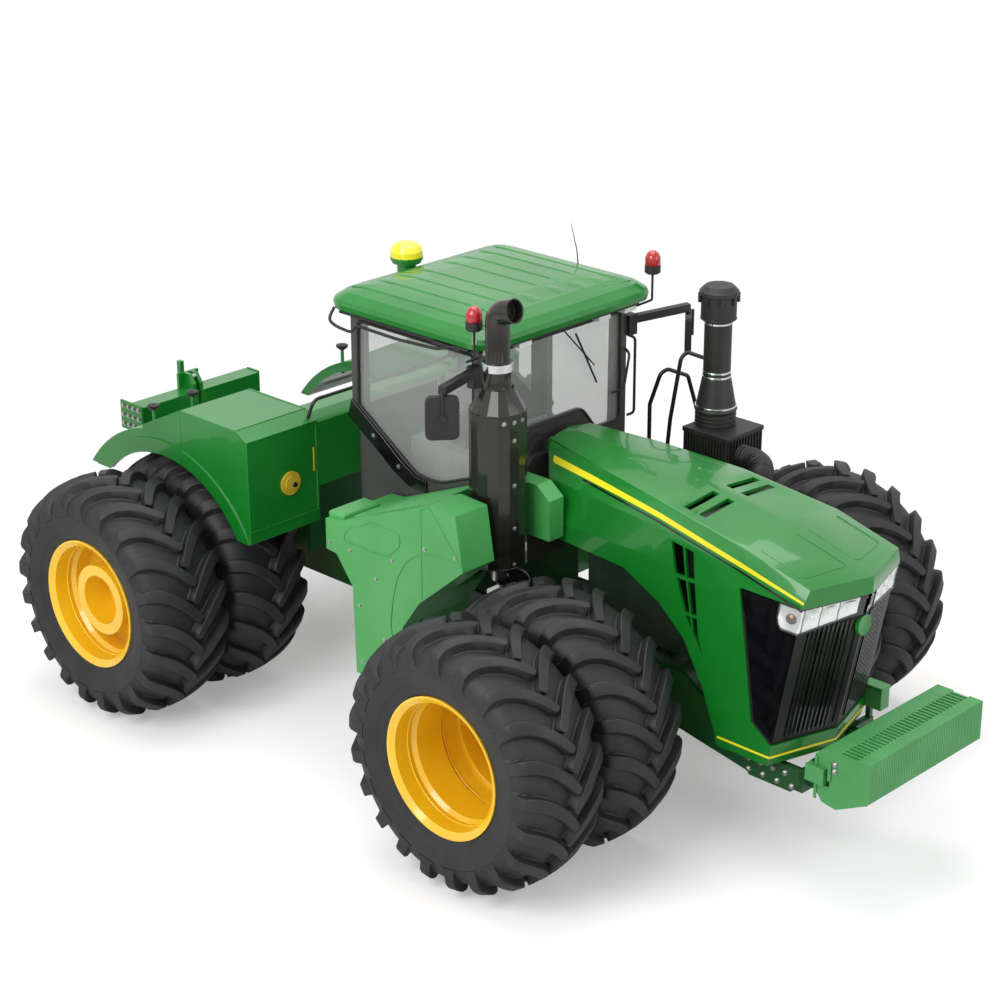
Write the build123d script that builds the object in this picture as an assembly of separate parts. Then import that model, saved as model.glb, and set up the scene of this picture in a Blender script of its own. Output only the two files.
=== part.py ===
"""Articulated four-wheel-drive farm tractor on dual wheels.

Millimetres. +X is forward, +Y is to the tractor's left, +Z is up, and the floor is Z = 0.
Everything is drawn about the articulation pin, the vertical pin that joins the front and rear
frames, and is moved once, as it is saved, to put the origin under the middle of the machine.
"""
from build123d import *
import os

os.makedirs("parts", exist_ok=True)

# ---------------------------------------------------------------- driving sizes
GAP = 0.3                # rest gap between pieces that seat on each other
FACE_GAP = 0.5           # running gap between the flat faces of a joint
PIN_PLAY = 1.0           # radial play of a pivot pin in its eye

# wheels
AXLE_X = 1956            # each axle from the articulation pin
WHEEL_Z = 980            # wheel centre above the floor
TYRE_R = 980             # to the tread, out to its lugs' tips
TYRE_W = 750
DUAL_PITCH = 820         # between the middles of the two tyres of a corner
OUTER_Y = 2000           # middle of the outer tyre
INNER_Y = OUTER_Y - DUAL_PITCH
TYRE_FACETS = 26         # flats round a tyre
BEAD_R = 482.5           # bead seat of the rim
BEAD_HALF = 312          # half width between the flanges
FLANGE_R = 521
FLANGE_T = 21
SIDEWALL_R = 700         # where the side wall is widest
BEAD_TOP_R = 545         # where the side wall leaves the rim

# axles
HUB_FACE_Y = 700         # end face of the axle housing
HOUSING_R = 130
DIFF_R = 270
SHAFT_R = 62
SADDLE_HALF = 150        # half length of the pads that seat the axle in the frame
SADDLE_TOP = 1120

# frames
RAIL_IN = 340            # inner faces of the front frame's side plates
RAIL_T = 40
RAIL_OUT = RAIL_IN + RAIL_T
RAIL_TOP = 1180
RAIL_LOW = 760
FRONT_FRAME_REAR = 180
FRAME_FRONT = 3520       # front cross plate's rear face
REAR_RAIL_IN = 300
REAR_RAIL_OUT = REAR_RAIL_IN + RAIL_T
REAR_FRAME_FRONT = -220
REAR_FRAME_REAR = -2700

# articulation joint
PIVOT_PIN_R = 45
PIVOT_LUG_R = 95
PIVOT_LUG_T = 30
PIVOT_TONGUE_T = 40
PIVOT_LEVELS = (1140, 800)   # middle heights of the two tongues

# steering cylinders
STEER_Z = 930
STEER_Y = 470
STEER_FRONT_X = 760
STEER_REAR_X = -520
CYL_R = 45
CYL_ROD_R = 25
STEER_BARREL_L = 780
STEER_ROD_L = 830
POCKET_Z = (865, 995)      # pockets in the side plates that the cylinders swing into

# weights
WEIGHTS_FRONT = 4300
WEIGHTS_REAR = 3862
WEIGHTS_HALF = 665
WEIGHTS_TOP = 1220
WEIGHTS_LOW = 802
BEAM_X0 = 3800           # square bar that the weights hook on
BEAM_X1 = 3985
BEAM_Z0 = 955
BEAM_Z1 = 1080
BEAM_HALF = 640
ARM_Y = 260
ARM_T = 60

# hood
HOOD_REAR = 1290            # side walls' rear edge
HOOD_LIP = 985               # top skin's rear edge on the centre line
HOOD_HALF = 550
HOOD_WALL = 25
NOSE_TOP_X = 3789
NOSE_CORNER_X = 3617
NOSE_LOW_X = 3531
CHIN_CORNER_X = 3370
CHIN_Z = 836
BROW_Z = 2125
GRILLE_LOW = 1000
LAMP_LOW = 1940
HOOD_PIN = (1000, 2500)  # hood hinge, (x, z)
HOOD_PIN_Y = 190
KNUCKLE_R = 22

# engine
ENGINE_X = (1500, 2900)
ENGINE_HALF = 330
ENGINE_Z = (1290, 2150)

# cab
CAB_REAR = -500
CAB_FRONT = 850
CAB_HALF = 800
CAB_FLOOR = 1560
CAB_TOP = 3370
WINDOW_TOP = 3290
CAB_WALL = 50
GLASS_T = 6
COWL_FRONT = 905             # tall part of the cowl, in front of the windscreen
COWL_STEP = 960              # low part, which carries the hood's hinge
COWL_LOW = 2430
DOOR_GAP = 8
DOOR_T = 45
DOOR_FRAME_W = 70
DOOR_PIN_Y = CAB_HALF + 15
POST_FRONT = -10             # post between the left rear window and the door
POST_REAR = -100
DOOR_KNUCKLE_R = 14

# roof
ROOF_X = (-640, 1035)
ROOF_HALF = 945
ROOF_TOP_Z = 3575

# platforms beside the cab
DECK_IN = 830
DECK_OUT = 1500
SKIRT_T = 30
EXHAUST_NOTCH_X = 930
EXHAUST_NOTCH_Y = 1180
LANDING_Z = 1640             # left landing, below the door
LANDING_FRONT = 1130
LANDING_REAR = -70
STEP_X = (120, 640)          # left stringers

# rear tank
TANK_FRONT = -945
TANK_REAR = -1740
TANK_TOP = 2430
TANK_LOW = 1520
TANK_IN = 780
CAP_Y = -1080
CAP_Z = 1920
TANK_OUT = 1500
FENDER_IN_R = 1110
FENDER_OUT_R = FENDER_IN_R + 100
ARCH_LIP_R = 1018        # lower edge of the lip round the wheel arch
ARCH_LIP_T = 30

# hitch
HITCH_X = -2450          # draft link and top link pins on the tractor
DRAFT_Z = 750
TOP_LINK_Z = 1700
LINK_L = 1000            # draft link and top link, pin to pin
DRAFT_Y = 400
LINK_T = 40
LINK_LUG_T = 25
HITCH_PIN_R = 25
COUPLER_HALF = 670
COUPLER_BEAM = 180
COUPLER_Z0 = 1640
COUPLER_X = HITCH_X - LINK_L
COUPLER_REAR = COUPLER_X - 150
LIFT_PIN = (-2560, 1560)
LIFT_EYE = (-2900, 845)
LIFT_BARREL_L = 500
LIFT_ROD_L = 460

ORIGIN_X = (WEIGHTS_FRONT + COUPLER_REAR) / 2


# ---------------------------------------------------------------- helpers
def block(x0, x1, y0, y1, z0, z1):
    """Box between two opposite corners."""
    middle = Pos((x0 + x1) / 2, (y0 + y1) / 2, (z0 + z1) / 2)
    return middle * Box(abs(x1 - x0), abs(y1 - y0), abs(z1 - z0))


def plate_xz(points, y0, y1):
    """Plate with an outline of (x, z) points, between two planes across the machine."""
    plane = Plane(origin=(0, y0, 0), x_dir=(1, 0, 0), z_dir=(0, -1, 0))
    return extrude(plane * Polygon(*points, align=None), amount=y1 - y0, dir=(0, 1, 0))


def plate_xy(points, z0, z1):
    """Plate with an outline of (x, y) points, between two heights."""
    return extrude(Plane.XY.offset(z0) * Polygon(*points, align=None), amount=z1 - z0, dir=(0, 0, 1))


def plate_yz(points, x0, x1):
    """Plate with an outline of (y, z) points, between two planes along the machine."""
    return extrude(Plane.YZ.offset(x0) * Polygon(*points, align=None), amount=x1 - x0, dir=(1, 0, 0))


def bar(start, end, radius):
    """Round bar between two points."""
    way = Vector(*end) - Vector(*start)
    return extrude(Plane(origin=start, z_dir=way) * Circle(radius), amount=way.length)


def tube_run(points, radius, bend):
    """Bent round tube along straight runs joined by arcs."""
    path = FilletPolyline(*points, radius=bend)
    section = Plane(origin=path @ 0, z_dir=path % 0) * Circle(radius)
    return sweep(section, path=path)


def turned(points, x, z):
    """Ring turned about the cross-machine line through (x, z); points are (y, radius)."""
    plane = Plane(origin=(x, 0, z), x_dir=(0, 1, 0), z_dir=(1, 0, 0))
    return revolve(plane * Polygon(*points, align=None), axis=Axis((x, 0, z), (0, 1, 0)))


def turned_up(points, x, y):
    """Body turned about the vertical line through (x, y); points are (radius, z)."""
    plane = Plane(origin=(x, y, 0), x_dir=(1, 0, 0), z_dir=(0, -1, 0))
    return revolve(plane * Polygon(*points, align=None), axis=Axis((x, y, 0), (0, 0, 1)))


def across(x, z, y0, y1, radius):
    """Round bar along Y."""
    return bar((x, y0, z), (x, y1, z), radius)


def mirrored(shape):
    """The same shape on the other side of the machine."""
    return mirror(shape, about=Plane.XZ)


def both_sides(shape):
    """A shape and its mirror image, as a list."""
    return [shape, mirrored(shape)]


def save(node, *shapes):
    """Write one node, moved so that the origin is under the middle of the machine."""
    solids = [solid for shape in shapes for solid in shape.solids()]
    export_step(Compound(solids).moved(Location((-ORIGIN_X, 0, 0))), f"parts/{node}.step")


# ---------------------------------------------------------------- wheels
# columns: distance from the tyre's middle plane, radius to the flats
TYRE_PROFILE = ((-375, 850), (-325, 905), (-190, 960), (0, TYRE_R), (190, 960), (325, 905), (375, 850))


def polygon_at(x, y, radius):
    """Many-sided section of a tyre across its axle, with a flat at the floor."""
    plane = Plane(origin=(x, y, WHEEL_Z), x_dir=(1, 0, 0), z_dir=(0, -1, 0))
    return plane * RegularPolygon(radius, TYRE_FACETS, major_radius=False)


def tyre(x, y):
    """One tyre as a ring of flat facets."""
    body = loft([polygon_at(x, y + off, radius) for off, radius in TYRE_PROFILE], ruled=True)
    body -= extrude(polygon_at(x, y + TYRE_W, BEAD_R + GAP), amount=2 * TYRE_W)
    for side in (-1, 1):
        dish = [
            polygon_at(x, y + side * (BEAD_HALF - GAP), BEAD_TOP_R),
            polygon_at(x, y + side * (TYRE_W / 2 + 1), SIDEWALL_R),
        ]
        body -= loft(dish if side > 0 else dish[::-1], ruled=True)
    return body


def rim(x, y):
    """Rim barrel with its two flanges and drop centre, about the middle plane y."""
    half = BEAD_HALF + FLANGE_T
    section = [
        (y - half, FLANGE_R), (y - BEAD_HALF, FLANGE_R), (y - BEAD_HALF, BEAD_R),
        (y + BEAD_HALF, BEAD_R), (y + BEAD_HALF, FLANGE_R), (y + half, FLANGE_R),
        (y + half, FLANGE_R - 14), (y + BEAD_HALF - 8, BEAD_R - 14), (y + 150, BEAD_R - 14),
        (y + 120, BEAD_R - 40), (y - 120, BEAD_R - 40), (y - 150, BEAD_R - 14),
        (y - BEAD_HALF + 8, BEAD_R - 14), (y - half, FLANGE_R - 14),
    ]
    return turned(section, x, WHEEL_Z)


def ring(x, y0, y1, r0, r1):
    """Plain ring about a wheel's axis."""
    return turned([(y0, r0), (y1, r0), (y1, r1), (y0, r1)], x, WHEEL_Z)


DISC_Y = INNER_Y + 60            # inner wheel's disc
DISC_T = 30
DISC_R = BEAD_R - 30
OUTER_DISC_Y = 1960              # rear outer wheel's disc
HUB_RING_R = 285                 # rear outer wheel's hub
HUB_HOLE_R = 200
HUB_RING_Y = 2220


def wheel_core(x):
    """What front and rear corners share: inner rim, outer rim, disc, hub and axle shaft."""
    core = rim(x, INNER_Y) + rim(x, OUTER_Y)
    core += ring(x, DISC_Y, DISC_Y + DISC_T, 0, DISC_R)
    core += ring(x, DISC_Y - 90, DISC_Y + DISC_T + 60, 0, 190)
    core += ring(x, HUB_FACE_Y + FACE_GAP, DISC_Y, 0, SHAFT_R)
    core += ring(x, HUB_FACE_Y + FACE_GAP, HUB_FACE_Y + 30, 0, 150)
    return core


def front_wheel():
    """Left front pair: the outer rim is carried by a drum and its barrel is open and deep."""
    drum = ring(AXLE_X, INNER_Y + BEAD_HALF - 10, OUTER_Y - BEAD_HALF + 10, BEAD_R - 46, BEAD_R - 12)
    return wheel_core(AXLE_X) + drum


def rear_wheel():
    """Left rear pair: the outer rim has a disc and a large hub ring, on the axle bar."""
    wheel = wheel_core(-AXLE_X)
    wheel += ring(-AXLE_X, OUTER_DISC_Y, OUTER_DISC_Y + DISC_T, 0, DISC_R)
    wheel += ring(-AXLE_X, OUTER_DISC_Y, HUB_RING_Y, HUB_HOLE_R, HUB_RING_R)
    wheel += ring(-AXLE_X, DISC_Y, OUTER_DISC_Y, 0, SHAFT_R)
    return wheel


def axle(x, pad_in, pad_out):
    """Axle housing with its differential, tapered arms, end flanges and saddle pads."""
    half = [(0, DIFF_R), (180, DIFF_R), (290, HOUSING_R), (640, HOUSING_R), (660, 210), (HUB_FACE_Y, 210)]
    section = [(-HUB_FACE_Y, 0)] + [(-y, r) for y, r in half[::-1]] + half[1:] + [(HUB_FACE_Y, 0)]
    housing = turned(section, x, WHEEL_Z)
    pad = block(x - SADDLE_HALF, x + SADDLE_HALF, pad_in, pad_out, WHEEL_Z - SADDLE_HALF, SADDLE_TOP)
    return housing + pad + mirrored(pad)


def saddle_cut(x):
    """Notch in the side plates that seats an axle's pads."""
    reach = SADDLE_HALF + GAP
    return block(x - reach, x + reach, -HUB_FACE_Y, HUB_FACE_Y, RAIL_LOW - 200, SADDLE_TOP)


def make_wheels():
    """Four corners: two tyres in one node, and rims with hub and shaft in another."""
    for end, x, wheel in (("front", AXLE_X, front_wheel()), ("rear", -AXLE_X, rear_wheel())):
        pair = [tyre(x, INNER_Y), tyre(x, OUTER_Y)]
        save(f"tyres_{end}_left", *pair)
        save(f"tyres_{end}_right", *[mirrored(one) for one in pair])
        save(f"rims_{end}_left", wheel)
        save(f"rims_{end}_right", mirrored(wheel))
    save("front_axle", axle(AXLE_X, RAIL_IN, RAIL_OUT))
    save("rear_axle", axle(-AXLE_X, REAR_RAIL_IN, REAR_RAIL_OUT))


# ---------------------------------------------------------------- front frame
# columns: x, z of the side plates' outline
FRONT_RAIL = (
    (FRONT_FRAME_REAR, RAIL_LOW), (FRONT_FRAME_REAR, RAIL_TOP), (2450, RAIL_TOP), (3050, 800),
    (FRAME_FRONT, 800), (FRAME_FRONT, 625), (3060, 625), (2300, RAIL_LOW),
)
CAB_MOUNT_X = (260, 700)
CYL_LUG_T = 20
CYL_EYE_T = 40
EYE_R = 48


def knuckle_lugs(z_mid, root_x):
    """Pair of flat lugs above and below a tongue at the articulation pin, joined to root_x."""
    lugs = []
    for side in (-1, 1):
        near = z_mid + side * (PIVOT_TONGUE_T / 2 + FACE_GAP)
        far = near + side * PIVOT_LUG_T
        low, high = min(near, far), max(near, far)
        lugs.append(extrude(Plane.XY.offset(low) * Circle(PIVOT_LUG_R), amount=high - low))
        lugs.append(block(0, root_x, -PIVOT_LUG_R, PIVOT_LUG_R, low, high))
    return lugs


def steer_lugs(x, side, rail_out):
    """Pair of flat lugs that hold a steering cylinder's eye, on a side plate, with the pin's heads."""
    lugs = []
    for level in (-1, 1):
        near = STEER_Z + level * (CYL_EYE_T / 2 + FACE_GAP)
        far = near + level * CYL_LUG_T
        low, high = min(near, far), max(near, far)
        reach = STEER_Y + EYE_R + 12
        lugs.append(block(x - 60, x + 60, side * rail_out, side * reach, low, high))
        head = far + level * 12
        lugs.append(bar((x, side * STEER_Y, min(far, head)), (x, side * STEER_Y, max(far, head)), 34))
    return lugs


def steer_pocket(x0, x1, side, inner):
    """Cut in a side plate and cross plate that the swinging steering cylinder passes through."""
    return block(x0, x1, side * inner, side * (STEER_Y - 20), *POCKET_Z)


def make_front_frame():
    """Side plates, cross plates, cab mounts, weight carrier and the joint's lugs."""
    frame = plate_xz(FRONT_RAIL, RAIL_IN, RAIL_OUT) + plate_xz(FRONT_RAIL, -RAIL_OUT, -RAIL_IN)
    frame += block(FRONT_FRAME_REAR, FRONT_FRAME_REAR + 40, -RAIL_IN, RAIL_IN, RAIL_LOW, RAIL_TOP)
    frame -= block(0, FRONT_FRAME_REAR + 60, -90, 90, 880, 1060)
    for x in (1560, 2800):
        frame += block(x, x + 60, -RAIL_IN, RAIL_IN, 1110 if x < 2000 else 860, ENGINE_Z[0] - GAP)
    frame += block(FRAME_FRONT, FRAME_FRONT + 40, -RAIL_OUT, RAIL_OUT, 625, 800)
    for x in CAB_MOUNT_X:
        frame += block(x, x + 60, -RAIL_OUT, RAIL_OUT, RAIL_TOP - 60, CAB_FLOOR - GAP)
    for lug in [lug for z in PIVOT_LEVELS for lug in knuckle_lugs(z, FRONT_FRAME_REAR)]:
        frame += lug
    for z in PIVOT_LEVELS:
        half = PIVOT_TONGUE_T / 2 + PIVOT_LUG_T + 15
        frame += bar((0, 0, z - half), (0, 0, z + half), PIVOT_PIN_R)
    for side in (-1, 1):
        for lug in steer_lugs(STEER_FRONT_X, side, RAIL_OUT):
            frame += lug
        frame += bar((STEER_FRONT_X, side * STEER_Y, STEER_Z - 45),
                     (STEER_FRONT_X, side * STEER_Y, STEER_Z + 45), HITCH_PIN_R)
        frame -= steer_pocket(FRONT_FRAME_REAR - 10, STEER_FRONT_X - 70, side, 235)
    arm = [(FRAME_FRONT + 30, 640), (FRAME_FRONT + 30, 800), (3765, 800), (BEAM_X0, BEAM_Z0 + 20),
           (BEAM_X0 + 45, BEAM_Z0 + 20), (BEAM_X0 + 45, 900), (3780, 640)]
    for side in (-1, 1):
        frame += plate_xz(arm, side * ARM_Y - ARM_T / 2, side * ARM_Y + ARM_T / 2)
    frame += block(BEAM_X0, BEAM_X1, -BEAM_HALF, BEAM_HALF, BEAM_Z0, BEAM_Z1)
    for side in (-1, 1):
        frame += block(240, 630, side * RAIL_OUT, side * (DECK_IN - GAP), 800, 862)
    frame -= saddle_cut(AXLE_X)
    save("front_frame", frame)


def make_weights():
    """Stack of suitcase weights hooked over the square bar, with a row of grips along the top."""
    notch_x = BEAM_X1 + GAP
    outline = [
        (3925, WEIGHTS_TOP), (WEIGHTS_FRONT, WEIGHTS_TOP), (WEIGHTS_FRONT, 928), (4046, WEIGHTS_LOW),
        (3930, 820), (WEIGHTS_REAR, 905), (WEIGHTS_REAR, BEAM_Z0 - 10), (notch_x, BEAM_Z0 - 10),
        (notch_x, BEAM_Z1), (WEIGHTS_REAR, BEAM_Z1), (WEIGHTS_REAR, 1160),
    ]
    stack = plate_xz(outline, -WEIGHTS_HALF, WEIGHTS_HALF)
    grips = 32
    pitch = 2 * (WEIGHTS_HALF - 45) / grips
    for i in range(grips):
        y = -WEIGHTS_HALF + 45 + i * pitch
        stack -= block(4055, 4190, y, y + pitch / 2, WEIGHTS_TOP - 35, WEIGHTS_TOP + 1)
    save("front_weights", stack)


# ---------------------------------------------------------------- hood
# columns: x, ridge z, crease y, crease z, stripe edge y, stripe edge z, shoulder y, shoulder z
HOOD_TOP = (
    (960, 2590, 215, 2565, 285, 2500, 420, 2370),
    (1600, 2560, 345, 2533, 400, 2478, 495, 2370),
    (2300, 2522, 450, 2478, 497, 2425, 535, 2330),
    (3100, 2400, 510, 2368, 537, 2275, 546, 2200),
    (3660, 2254, 500, 2225, 540, 2140, 548, 2120),
    (3800, 2225, 490, 2190, 540, 2130, 548, 2110),
)
# columns: x, y of the hood's rear edge seen from above, from the lip round to the side wall
HOOD_REAR_EDGE = ((HOOD_LIP, 0), (HOOD_LIP + 15, 150), (1050, 280), (1230, 470), (HOOD_REAR, 620))
# columns: x, z of the side wall's lower edge, over the front wheels
HOOD_ARCH = (
    (HOOD_REAR - 400, 1990), (1503, 1964), (2024, 1934), (2367, 1763), (2596, 1558), (2773, 1245),
    (2896, 930), (2920, CHIN_Z), (2920, CHIN_Z - 400), (HOOD_REAR - 400, CHIN_Z - 400),
)
# columns: x, z of the front opening that the grille and lamps fill
FRONT_OPENING = (
    (3073, BROW_Z - 25), (3215, 1120), (3380, GRILLE_LOW), (3950, GRILLE_LOW), (3950, BROW_Z - 25),
)
# columns: x, z of the side vents' corners
SIDE_VENT = ((2455, 2262), (2660, 2235), (2722, 1640), (2765, 1490), (2615, 1725), (2510, 2022))
VENT_BANDS = ((1480, 1745), (1765, 2005), (2030, 2280))     # low and high edge of each row
VENT_POST = ((2553, 2300), (2567, 2300), (2707, 1480), (2693, 1480))


def plan_outline(nose_x, corner_x, inset):
    """Hood outline seen from above: straight sides and a nose that comes to a blunt point."""
    half = HOOD_HALF - inset
    nose, corner = nose_x - inset, corner_x - inset
    return [(HOOD_LIP - 15, -half), (corner, -half), (nose, 0), (corner, half), (HOOD_LIP - 15, half)]


def hood_envelope(inset):
    """Outside of the hood, or the same body with every face moved in by inset."""
    low = CHIN_Z if inset == 0 else CHIN_Z - 300
    lean = (NOSE_TOP_X - NOSE_LOW_X) / (BROW_Z - CHIN_Z)
    drop = CHIN_Z - low
    lower = loft([
        Plane.XY.offset(low) * Polygon(*plan_outline(
            NOSE_LOW_X - lean * drop, CHIN_CORNER_X - lean * drop, inset), align=None),
        Plane.XY.offset(BROW_Z) * Polygon(*plan_outline(NOSE_TOP_X, NOSE_CORNER_X, inset), align=None),
    ], ruled=True)
    sections = []
    for x, ridge, crease_y, crease, edge_y, edge, shoulder_y, shoulder in HOOD_TOP:
        side = [
            (HOOD_HALF - inset, BROW_Z - 300), (HOOD_HALF - inset, BROW_Z - 30),
            (shoulder_y - inset, shoulder - inset / 2), (edge_y - inset, edge - inset),
            (crease_y - inset / 2, crease - inset),
        ]
        points = [(-y, z) for y, z in side] + [(0, ridge - inset)] + side[::-1]
        sections.append(Plane.YZ.offset(x) * Polygon(*points, align=None))
    crown = loft(sections, ruled=True)
    plan = plan_outline(NOSE_TOP_X, NOSE_CORNER_X, inset)
    upper = crown & plate_xy(plan, BROW_Z - 60, 2800)
    return (lower & plate_xy(plan_outline(5000, 5000, inset), 0, BROW_Z - 60)) + upper


def hood_rear_cut():
    """What lies behind the hood's rear edge, seen from above."""
    rear = [(x, y) for x, y in HOOD_REAR_EDGE]
    outline = rear + [(HOOD_LIP - 100, 620), (HOOD_LIP - 100, -620)] + [(x, -y) for x, y in rear[:0:-1]]
    return plate_xy(outline, 0, 3000)


def make_hood():
    """Hood shell with its wheel arch, front opening, vents and hinge knuckles, then grille and lamps."""
    outer = hood_envelope(0)
    inner = hood_envelope(HOOD_WALL)
    wide = HOOD_HALF + 50
    opening = plate_xz(FRONT_OPENING, -wide, wide)
    shell = outer - inner
    shell -= hood_rear_cut()
    shell -= plate_xz(HOOD_ARCH, -wide, wide)
    shell -= opening
    for x in (2435, 2570):
        for side in (-1, 1):
            shell -= block(x, x + 62, side * 70, side * 390, 2380, 2600)
    vent = plate_xz(SIDE_VENT, -wide, wide) - plate_xz(VENT_POST, -wide, wide)
    for low, high in VENT_BANDS:
        shell -= vent & block(2300, 2900, -wide, wide, low, high)
    x, z = HOOD_PIN
    for side in (-1, 1):
        start = side * (HOOD_PIN_Y + FACE_GAP)
        end = side * (HOOD_PIN_Y + 40)
        tab = block(x, x + 2 * KNUCKLE_R, start, end, z - KNUCKLE_R, z + 300)
        shell += across(x, z, start, end, KNUCKLE_R) + (tab & outer)
    save("hood", shell)

    near = [(px + GAP if px < 3900 else px, pz + (GAP if pz < 1500 else -GAP)) for px, pz in FRONT_OPENING]
    filled = plate_xz(near, -wide, wide)
    face = hood_envelope(HOOD_WALL - 10)
    back = hood_envelope(HOOD_WALL + 25)
    groove_depth = hood_envelope(HOOD_WALL + 4)
    grille = (face - back) & filled & block(3000, 4000, -wide, wide, 900, LAMP_LOW - 10)
    slats = 9
    for side in (-1, 1):
        for i in range(slats):
            y = side * (50 + 48 * i)
            slit = block(3200, 3900, y - 9, y + 9, GRILLE_LOW + 60, LAMP_LOW - 60)
            grille -= slit & (face - groove_depth)
    save("grille", grille)
    lamp = (face - hood_envelope(HOOD_WALL + 60)) & filled
    lamp = lamp & block(3250, 4000, 20, wide, LAMP_LOW - 10 + GAP, BROW_Z)
    save("headlamps", *both_sides(lamp))


# ---------------------------------------------------------------- cab
# columns: x, z
SIDE_WINDOW = (
    (-430, WINDOW_TOP), (-440, 2620), (170, 2225), (350, 2212), (460, 2225), (780, 2350), (790, WINDOW_TOP),
)
DOOR_OPENING = ((POST_FRONT, WINDOW_TOP), (POST_FRONT, 1700), (560, 1700), (780, 2300), (790, WINDOW_TOP))
LEFT_WINDOW = ((-430, WINDOW_TOP), (-440, 2620), (POST_REAR, 2400), (POST_REAR, WINDOW_TOP))
SEAT_X = 120


def pane(points, y0):
    """Glass pane that fits an opening with the rest gap all round."""
    face = Plane(origin=(0, y0, 0), x_dir=(1, 0, 0), z_dir=(0, -1, 0)) * Polygon(*points, align=None)
    return extrude(offset(face, amount=-GAP), amount=GLASS_T, dir=(0, 1, 0))


def inset_outline(points, inset, y0, y1):
    """Plate of an (x, z) outline moved in by inset, between two planes across the machine."""
    face = Plane(origin=(0, y0, 0), x_dir=(1, 0, 0), z_dir=(0, -1, 0)) * Polygon(*points, align=None)
    return extrude(offset(face, amount=-inset, kind=Kind.INTERSECTION), amount=y1 - y0, dir=(0, 1, 0))


def cowl():
    """Shroud between windscreen and hood: tall at the cab, with a lower step under the hood's lip."""
    ridge, crease_y, crease, edge_y, edge, shoulder_y, shoulder = HOOD_TOP[0][1:]
    side = [
        (shoulder_y + 40, 1620), (shoulder_y + 40, 2200), (shoulder_y, shoulder), (edge_y, edge),
        (crease_y, crease),
    ]
    outline = [(-y, z) for y, z in side] + [(0, ridge)] + side[::-1]
    body = plate_yz(outline, CAB_FRONT - 10, COWL_STEP)
    return body - block(COWL_FRONT, COWL_STEP + 10, -HOOD_HALF, HOOD_HALF, COWL_LOW, 2700)


def make_cab():
    """Cab shell with its windows, cowl and door hinges; glass, roof, door, seat and controls."""
    outer = block(CAB_REAR, CAB_FRONT, -CAB_HALF, CAB_HALF, CAB_FLOOR, CAB_TOP)
    outer = fillet(outer.edges().filter_by(Axis.Z).group_by(Axis.X)[0], 110)
    inner = block(CAB_REAR + CAB_WALL, CAB_FRONT - CAB_WALL, -CAB_HALF + CAB_WALL, CAB_HALF - CAB_WALL,
                  CAB_FLOOR + CAB_WALL, CAB_TOP + 10)
    inner = fillet(inner.edges().filter_by(Axis.Z).group_by(Axis.X)[0], 60)
    cab = outer - inner
    cab -= plate_xz(SIDE_WINDOW, -CAB_HALF - 10, -CAB_HALF + CAB_WALL + 10)
    cab -= plate_xz(DOOR_OPENING, CAB_HALF - CAB_WALL - 10, CAB_HALF + 10)
    cab -= plate_xz(LEFT_WINDOW, CAB_HALF - CAB_WALL - 10, CAB_HALF + 10)
    rear_y, front_y = CAB_HALF - 130, CAB_HALF - 70
    rear_window = [(-rear_y, 2600), (rear_y, 2600), (rear_y, WINDOW_TOP), (-rear_y, WINDOW_TOP)]
    low_edge = [(-front_y, 2420), (-460, 2420), (-300, 2620), (300, 2620), (460, 2420), (front_y, 2420)]
    windscreen = low_edge + [(front_y, WINDOW_TOP), (-front_y, WINDOW_TOP)]
    cab -= plate_yz(rear_window, CAB_REAR - 10, CAB_REAR + CAB_WALL + 10)
    cab -= plate_yz(windscreen, CAB_FRONT - CAB_WALL - 10, CAB_FRONT + 10)
    cab += cowl()
    x, z = HOOD_PIN
    for side in (-1, 1):
        start, end = side * (HOOD_PIN_Y - 40), side * HOOD_PIN_Y
        cab += across(x, z, start, end, KNUCKLE_R)
        lug = [(COWL_FRONT - 10, COWL_LOW - 20), (COWL_FRONT - 10, z + 10), (x, z + 15), (x + 15, z - 15),
               (COWL_STEP, COWL_LOW - 20)]
        cab += plate_xz(lug, min(start, end), max(start, end))
    pin_x = DOOR_OPENING[0][0] + DOOR_GAP
    for level in (1900, 3000):
        cab += bar((pin_x, DOOR_PIN_Y, level - 30), (pin_x, DOOR_PIN_Y, level), DOOR_KNUCKLE_R)
        cab += block(pin_x - 50, pin_x, CAB_HALF, CAB_HALF + 12, level - 30, level)
        cab += block(pin_x - 50, pin_x - 12, CAB_HALF - 40, CAB_HALF, level - 30, level)
    save("cab_frame", cab)

    middle = CAB_WALL / 2 + GLASS_T / 2
    right = pane(SIDE_WINDOW, -CAB_HALF + middle - GLASS_T)
    rear = extrude(Plane.YZ.offset(CAB_REAR + middle - GLASS_T)
                   * offset(Polygon(*rear_window, align=None), amount=-GAP), amount=GLASS_T, dir=(1, 0, 0))
    front = extrude(Plane.YZ.offset(CAB_FRONT - middle)
                    * offset(Polygon(*windscreen, align=None), amount=-GAP), amount=GLASS_T, dir=(1, 0, 0))
    left = pane(LEFT_WINDOW, CAB_HALF - middle)
    save("cab_glass", right, left, rear, front)

    door = inset_outline(DOOR_OPENING, DOOR_GAP, CAB_HALF - DOOR_T, CAB_HALF)
    hole = inset_outline(DOOR_OPENING, DOOR_GAP + DOOR_FRAME_W, CAB_HALF - DOOR_T - 5, CAB_HALF + 5)
    door -= hole
    for level in (1900, 3000):
        door += bar((pin_x, DOOR_PIN_Y, level + GAP), (pin_x, DOOR_PIN_Y, level + 30), DOOR_KNUCKLE_R)
        door += block(pin_x, pin_x + 60, CAB_HALF - 5, CAB_HALF + 12, level + GAP, level + 30)
    save("door_frame", door)
    glass_y = CAB_HALF - DOOR_T / 2
    save("door_glass", inset_outline(DOOR_OPENING, DOOR_GAP + DOOR_FRAME_W + GAP, glass_y - GLASS_T / 2,
                                     glass_y + GLASS_T / 2))


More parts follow.
